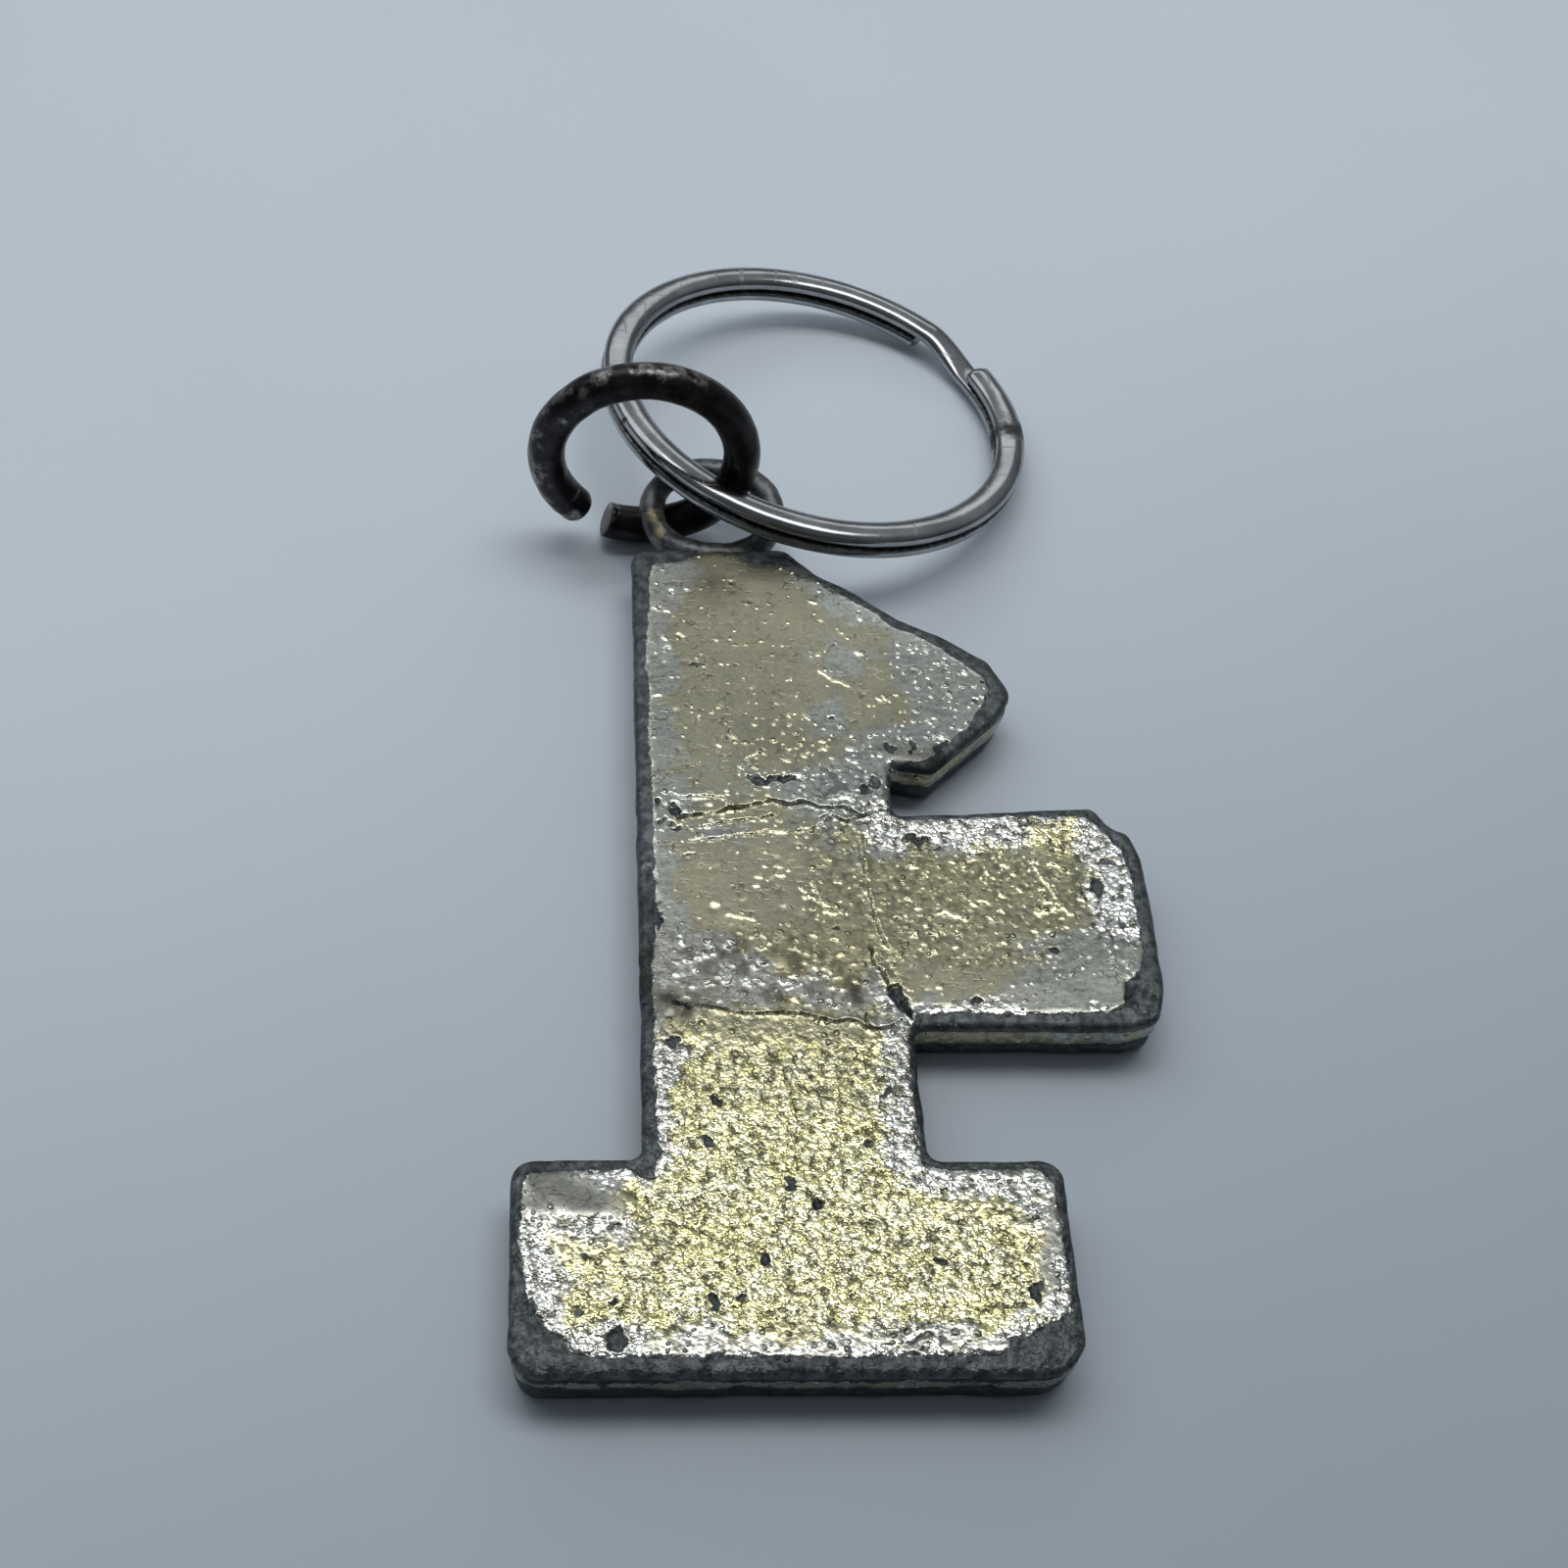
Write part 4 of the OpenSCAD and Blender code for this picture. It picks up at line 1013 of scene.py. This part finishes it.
    # relief: fine cast skin, wrinkled flakes and bright grains
    gr = k.cell(0.34, "SMOOTH_F1", co_w.outputs[0])
    gr2 = k.cell(0.17, "F1", co_w.outputs[0])
    grain = k.math("MULTIPLY", k.math("ADD", k.math("MULTIPLY", gr, -1.0), k.math("MULTIPLY", gr2, -0.35)), k.math("MULTIPLY_ADD", k.math("POWER", spark, 2.8), 0.98, 0.02))
    grain = k.math("MULTIPLY_ADD", dot, 0.50, grain)
    grain = k.math("MULTIPLY_ADD", big, 0.85, grain)
    skin = k.math("ADD", k.math("MULTIPLY", flake, 0.9), k.math("MULTIPLY", n_fine, 0.45))
    gap = k.remap(k.math("ADD", gr, k.math("MULTIPLY_ADD", n_fine, 0.5, -0.25)), 0.42, 0.62)
    gap = k.math("MULTIPLY", k.math("MULTIPLY", gap, k.remap(spark, 0.15, 0.8)), plate)
    base = k.mix(k.math("MULTIPLY", gap, 0.82), base, (0.085, 0.08, 0.05))
    dullish = k.math("MULTIPLY", k.remap(k.cell(0.42, "F1", co_w.outputs[0], "Color"), 0.52, 0.66), k.remap(spark, 0.15, 0.7))
    dullish = k.math("MULTIPLY", dullish, plate)
    base = k.mix(k.math("MULTIPLY", dullish, 0.26), base, (0.17, 0.17, 0.13))
    k.link(base, k.b.inputs["Base Color"])
    skin = k.math("ADD", skin, k.math("MULTIPLY", k.math("MULTIPLY", line, calm), -1.1))
    b1 = k.bump(skin, 0.0045, 1.0)
    b2 = k.bump(grain, 0.105, 1.0, b1)
    b3 = k.bump(plate, 0.030, 1.0, b2)
    k.link(b3, k.b.inputs["Normal"])
    return k.m

def bare_material():
    k = Tree("bare_casting")
    wear = k.attr("wear")
    n_mid, n_fine = k.noise(0.8, 6.0, 0.65), k.noise(0.25, 4.0, 0.6)
    w = k.remap(k.math("ADD", wear, k.math("MULTIPLY_ADD", n_mid, 1.3, -0.65)), 0.32, 0.62)
    dark = k.mix(k.remap(n_mid, 0.35, 0.68), (0.075, 0.080, 0.086), (0.20, 0.21, 0.215))
    brass = k.mix(k.remap(n_fine, 0.35, 0.7), (0.30, 0.26, 0.16), (0.46, 0.42, 0.29))
    k.link(k.mix(w, dark, brass), k.b.inputs["Base Color"])
    k.link(k.fmix(w, 0.75, 1.0), k.b.inputs["Metallic"])
    k.link(k.math("MULTIPLY_ADD", n_mid, 0.35, 0.24), k.b.inputs["Roughness"])
    k.link(k.bump(k.math("ADD", n_mid, k.math("MULTIPLY", n_fine, 0.5)), 0.05), k.b.inputs["Normal"])
    return k.m

def black_material():
    k = Tree("blackened_wire")
    wear = k.attr("wear")
    n_mid, n_fine = k.noise(1.1, 5.0, 0.65), k.noise(0.22, 4.0, 0.6)
    w = k.remap(k.math("ADD", wear, k.math("MULTIPLY_ADD", n_mid, 1.9, -0.95)), 0.50, 0.85)
    dark = k.mix(k.remap(n_mid, 0.35, 0.68), (0.018, 0.016, 0.018), (0.046, 0.042, 0.045))
    # lighter metal: rubs, and painted highlight on the ring's upward faces
    rub_and_sheen = k.mix(k.remap(n_fine, 0.3, 0.7), (0.16, 0.15, 0.145), (0.34, 0.33, 0.32))
    k.link(k.mix(w, dark, rub_and_sheen), k.b.inputs["Base Color"])
    k.link(k.fmix(w, 0.80, 1.0), k.b.inputs["Metallic"])
    k.link(k.math("MULTIPLY_ADD", n_mid, 0.30, 0.16), k.b.inputs["Roughness"])
    k.link(k.bump(k.math("ADD", n_mid, k.math("MULTIPLY", n_fine, 0.4)), 0.022), k.b.inputs["Normal"])
    return k.m

def nickel_material():
    k = Tree("nickel_wire")
    stain, shade_and_end_marks = k.attr("stain"), k.attr("shade_and_end_marks")
    n_big, n_fine = k.noise(3.0, 5.0, 0.6), k.noise(0.35, 4.0, 0.6)
    scr1 = k.noise(0.35, 2.0, 0.5, 0.0, k.stretch(1.0, 0.05, 0.4, (0, 0, 0.5)))
    scr2 = k.noise(0.30, 2.0, 0.5, 0.0, k.stretch(0.06, 1.0, 0.4, (0, 0, -0.35)))
    scr = k.math("MAXIMUM", k.remap(scr1, 0.62, 0.70), k.remap(scr2, 0.63, 0.70))
    col = k.mix(k.remap(n_big, 0.35, 0.7), (0.30, 0.31, 0.32), (0.45, 0.46, 0.465))
    col = k.mix(k.math("MULTIPLY", scr, 0.18), col, (0.28, 0.28, 0.29))
    st = k.remap(k.math("ADD", stain, k.math("MULTIPLY_ADD", n_fine, 1.0, -0.5)), 0.20, 0.90)
    col = k.mix(st, col, (0.060, 0.056, 0.054))
    # painted shade in the groove between the turns and painted shadow of the jump ring, with the darker cut ends
    gr = k.remap(k.math("ADD", shade_and_end_marks, k.math("MULTIPLY_ADD", n_fine, 0.7, -0.35)), 0.35, 0.8)
    col = k.mix(gr, col, (0.030, 0.028, 0.027))
    k.link(col, k.b.inputs["Base Color"])
    k.link(k.fmix(k.math("MAXIMUM", st, gr), 1.0, 0.55), k.b.inputs["Metallic"])
    r = k.math("MULTIPLY_ADD", n_big, 0.10, 0.13)
    r = k.math("ADD", r, k.math("MULTIPLY", scr, 0.14))
    k.link(k.fmix(k.math("MAXIMUM", st, gr), r, 0.6), k.b.inputs["Roughness"])
    h = k.math("ADD", k.math("MULTIPLY", scr, -0.22), k.math("MULTIPLY", n_fine, 0.5))
    k.link(k.bump(h, 0.007), k.b.inputs["Normal"])
    return k.m

def floor_material():
    k = Tree("table_top")
    n1, n2 = k.noise(26.0, 4.0, 0.5), k.noise(0.5, 3.0, 0.6)
    # painted light falloff: the table is painted darker near the camera and to the right, lighter far off and to the
    # left
    near = k.mix(k.remap(n1, 0.3, 0.7), (0.440, 0.508, 0.580), (0.456, 0.524, 0.598))
    far = k.mix(k.remap(n1, 0.3, 0.7), (0.800, 0.885, 0.980), (0.815, 0.900, 0.990))
    sep = k.t.nodes.new("ShaderNodeSeparateXYZ")
    k.link(k.co, sep.inputs[0])
    k.link(k.mix(k.remap(k.math("MULTIPLY_ADD", sep.outputs["X"], -0.45, sep.outputs["Y"]), -0.058, 0.052), near, far), k.b.inputs["Base Color"])
    k.link(k.math("MULTIPLY_ADD", n2, 0.08, 0.50), k.b.inputs["Roughness"])
    k.b.inputs["Specular IOR Level"].default_value = 0.28
    k.link(k.bump(n2, 0.006, 0.4), k.b.inputs["Normal"])
    return k.m

# ---------------------------------------------------------------- build
def add(name, built, mat, body, slot, *nodes):
    P, F, attrs = built
    ob = make_object(name, P, F, attrs)
    ob.data.materials.append(mat)
    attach(ob, body)
    if nodes:
        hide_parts(*nodes)
    return ob

mat_plated, mat_bare, mat_black, mat_nickel = plated_material(), bare_material(), black_material(), nickel_material()
casting = add("casting_face", make_casting(), mat_plated, "charm", "plated_casting", "numeral_casting")
eyelet = add("eyelet_limb", make_eyelet(), mat_bare, "charm", "bare_casting", "eyelet")
root = add("eyelet_root", make_eyelet_root(), mat_bare, "charm", "bare_casting")
jump = add("jump_wire", make_jump(), mat_black, "jump_link", "blackened_wire", "jump_ring")
split = add("split_wire", make_split(), mat_nickel, "key_link", "nickel_wire", "split_ring")

# ---------------------------------------------------------------- table, light, camera
me = bpy.data.meshes.new("table")
S = 1.6
nf = 24
gv = [((i / nf - 0.5) * 2 * S, (j / nf - 0.5) * 2 * S, -0.00002) for j in range(nf + 1) for i in range(nf + 1)]
gf = [(j * (nf + 1) + i, j * (nf + 1) + i + 1, (j + 1) * (nf + 1) + i + 1, (j + 1) * (nf + 1) + i) for j in range(nf) for i in range(nf)]
me.from_pydata(gv, [], gf)
table = bpy.data.objects.new("table", me)
scene.collection.objects.link(table)
table.data.materials.append(floor_material())

def direction(az, el):
    az, el = radians(az), radians(el)
    return Vector((sin(az) * cos(el), cos(az) * cos(el), sin(el)))

def area(name, az, el, dist, w, h, radiance, color=(1, 1, 1), roll=0.0, spread=180):
    L = bpy.data.lights.new(name, "AREA")
    L.shape = "RECTANGLE"
    L.size, L.size_y = w, h
    L.energy = radiance * pi * w * h
    L.color = color
    L.spread = radians(spread)
    ob = bpy.data.objects.new(name, L)
    d = direction(az, el)
    ob.location = Vector((0.0, 0.0, 0.0)) + d * dist
    q = d.to_track_quat("Z", "Y")
    ob.rotation_euler = (q.to_matrix() @ Matrix.Rotation(radians(roll), 3, "Z")).to_euler()
    scene.collection.objects.link(ob)
    return ob

area("key_soft", 12, 75.5, 0.50, 0.44, 0.175, 3.5, (1.0, 0.99, 0.965))
area("back_low", 6, 27, 0.60, 0.50, 0.11, 1.0, (0.97, 0.99, 1.0))
area("fill_left", -50, 46, 0.60, 0.40, 0.30, 0.95, (0.93, 0.97, 1.0))

world = bpy.data.worlds.new("studio")
scene.world = world
world.use_nodes = True
wt = world.node_tree
wt.nodes.clear()
wo = wt.nodes.new("ShaderNodeOutputWorld")
bg = wt.nodes.new("ShaderNodeBackground")
tc = wt.nodes.new("ShaderNodeTexCoord")
sep = wt.nodes.new("ShaderNodeSeparateXYZ")
wt.links.new(tc.outputs["Generated"], sep.inputs[0])
ramp = wt.nodes.new("ShaderNodeMapRange")
ramp.interpolation_type = "SMOOTHSTEP"
wt.links.new(sep.outputs["Y"], ramp.inputs["Value"])
ramp.inputs["From Min"].default_value = -0.25
ramp.inputs["From Max"].default_value = 0.52
ramp.inputs["To Min"].default_value = 0.13
ramp.inputs["To Max"].default_value = 0.33
rise = wt.nodes.new("ShaderNodeMapRange")
rise.interpolation_type = "SMOOTHSTEP"
wt.links.new(sep.outputs["Z"], rise.inputs["Value"])
rise.inputs["From Min"].default_value = 0.10
rise.inputs["From Max"].default_value = 0.68
rise.inputs["To Min"].default_value = 0.40
rise.inputs["To Max"].default_value = 1.0
both = wt.nodes.new("ShaderNodeMath")
both.operation = "MULTIPLY"
wt.links.new(ramp.outputs["Result"], both.inputs[0])
wt.links.new(rise.outputs["Result"], both.inputs[1])
wt.links.new(both.outputs[0], bg.inputs["Strength"])
bg.inputs["Color"].default_value = (0.86, 0.93, 1.0, 1.0)
wt.links.new(bg.outputs[0], wo.inputs[0])

cam = bpy.data.cameras.new("camera")
cam.lens = 60.50
cam.sensor_width = 36.0
cam.clip_start = 0.005
cam.clip_end = 20
cam.dof.use_dof = False
co = bpy.data.objects.new("camera", cam)
scene.collection.objects.link(co)
e, rho, psi = radians(50), radians(7.6), radians(8.64)
right, up_, fwd = Vector((1, 0, 0)), Vector((0, sin(e), cos(e))), Vector((0, cos(e), -sin(e)))
c_, s_ = cos(rho), sin(rho)
cr, cu = c_ * right + s_ * up_, -s_ * right + c_ * up_
Rz = Matrix.Rotation(-psi, 3, "Z")
# the middle of the picture looks at this point of the table, a little above the casting's middle
aim = Vector(((num_lo[0] + num_hi[0]) / 2 * MM - 0.00191, (TOP + BOT) / 2 * MM + 0.01065, 0))
loc = Rz @ (-0.1378 * fwd) + aim
X, Y, Z = Rz @ cr, Rz @ cu, -(Rz @ fwd)
M = Matrix(((X.x, Y.x, Z.x, loc.x), (X.y, Y.y, Z.y, loc.y), (X.z, Y.z, Z.z, loc.z), (0, 0, 0, 1)))
co.matrix_world = M
scene.camera = co
scene.view_settings.view_transform = "Standard"
scene.view_settings.look = "None"
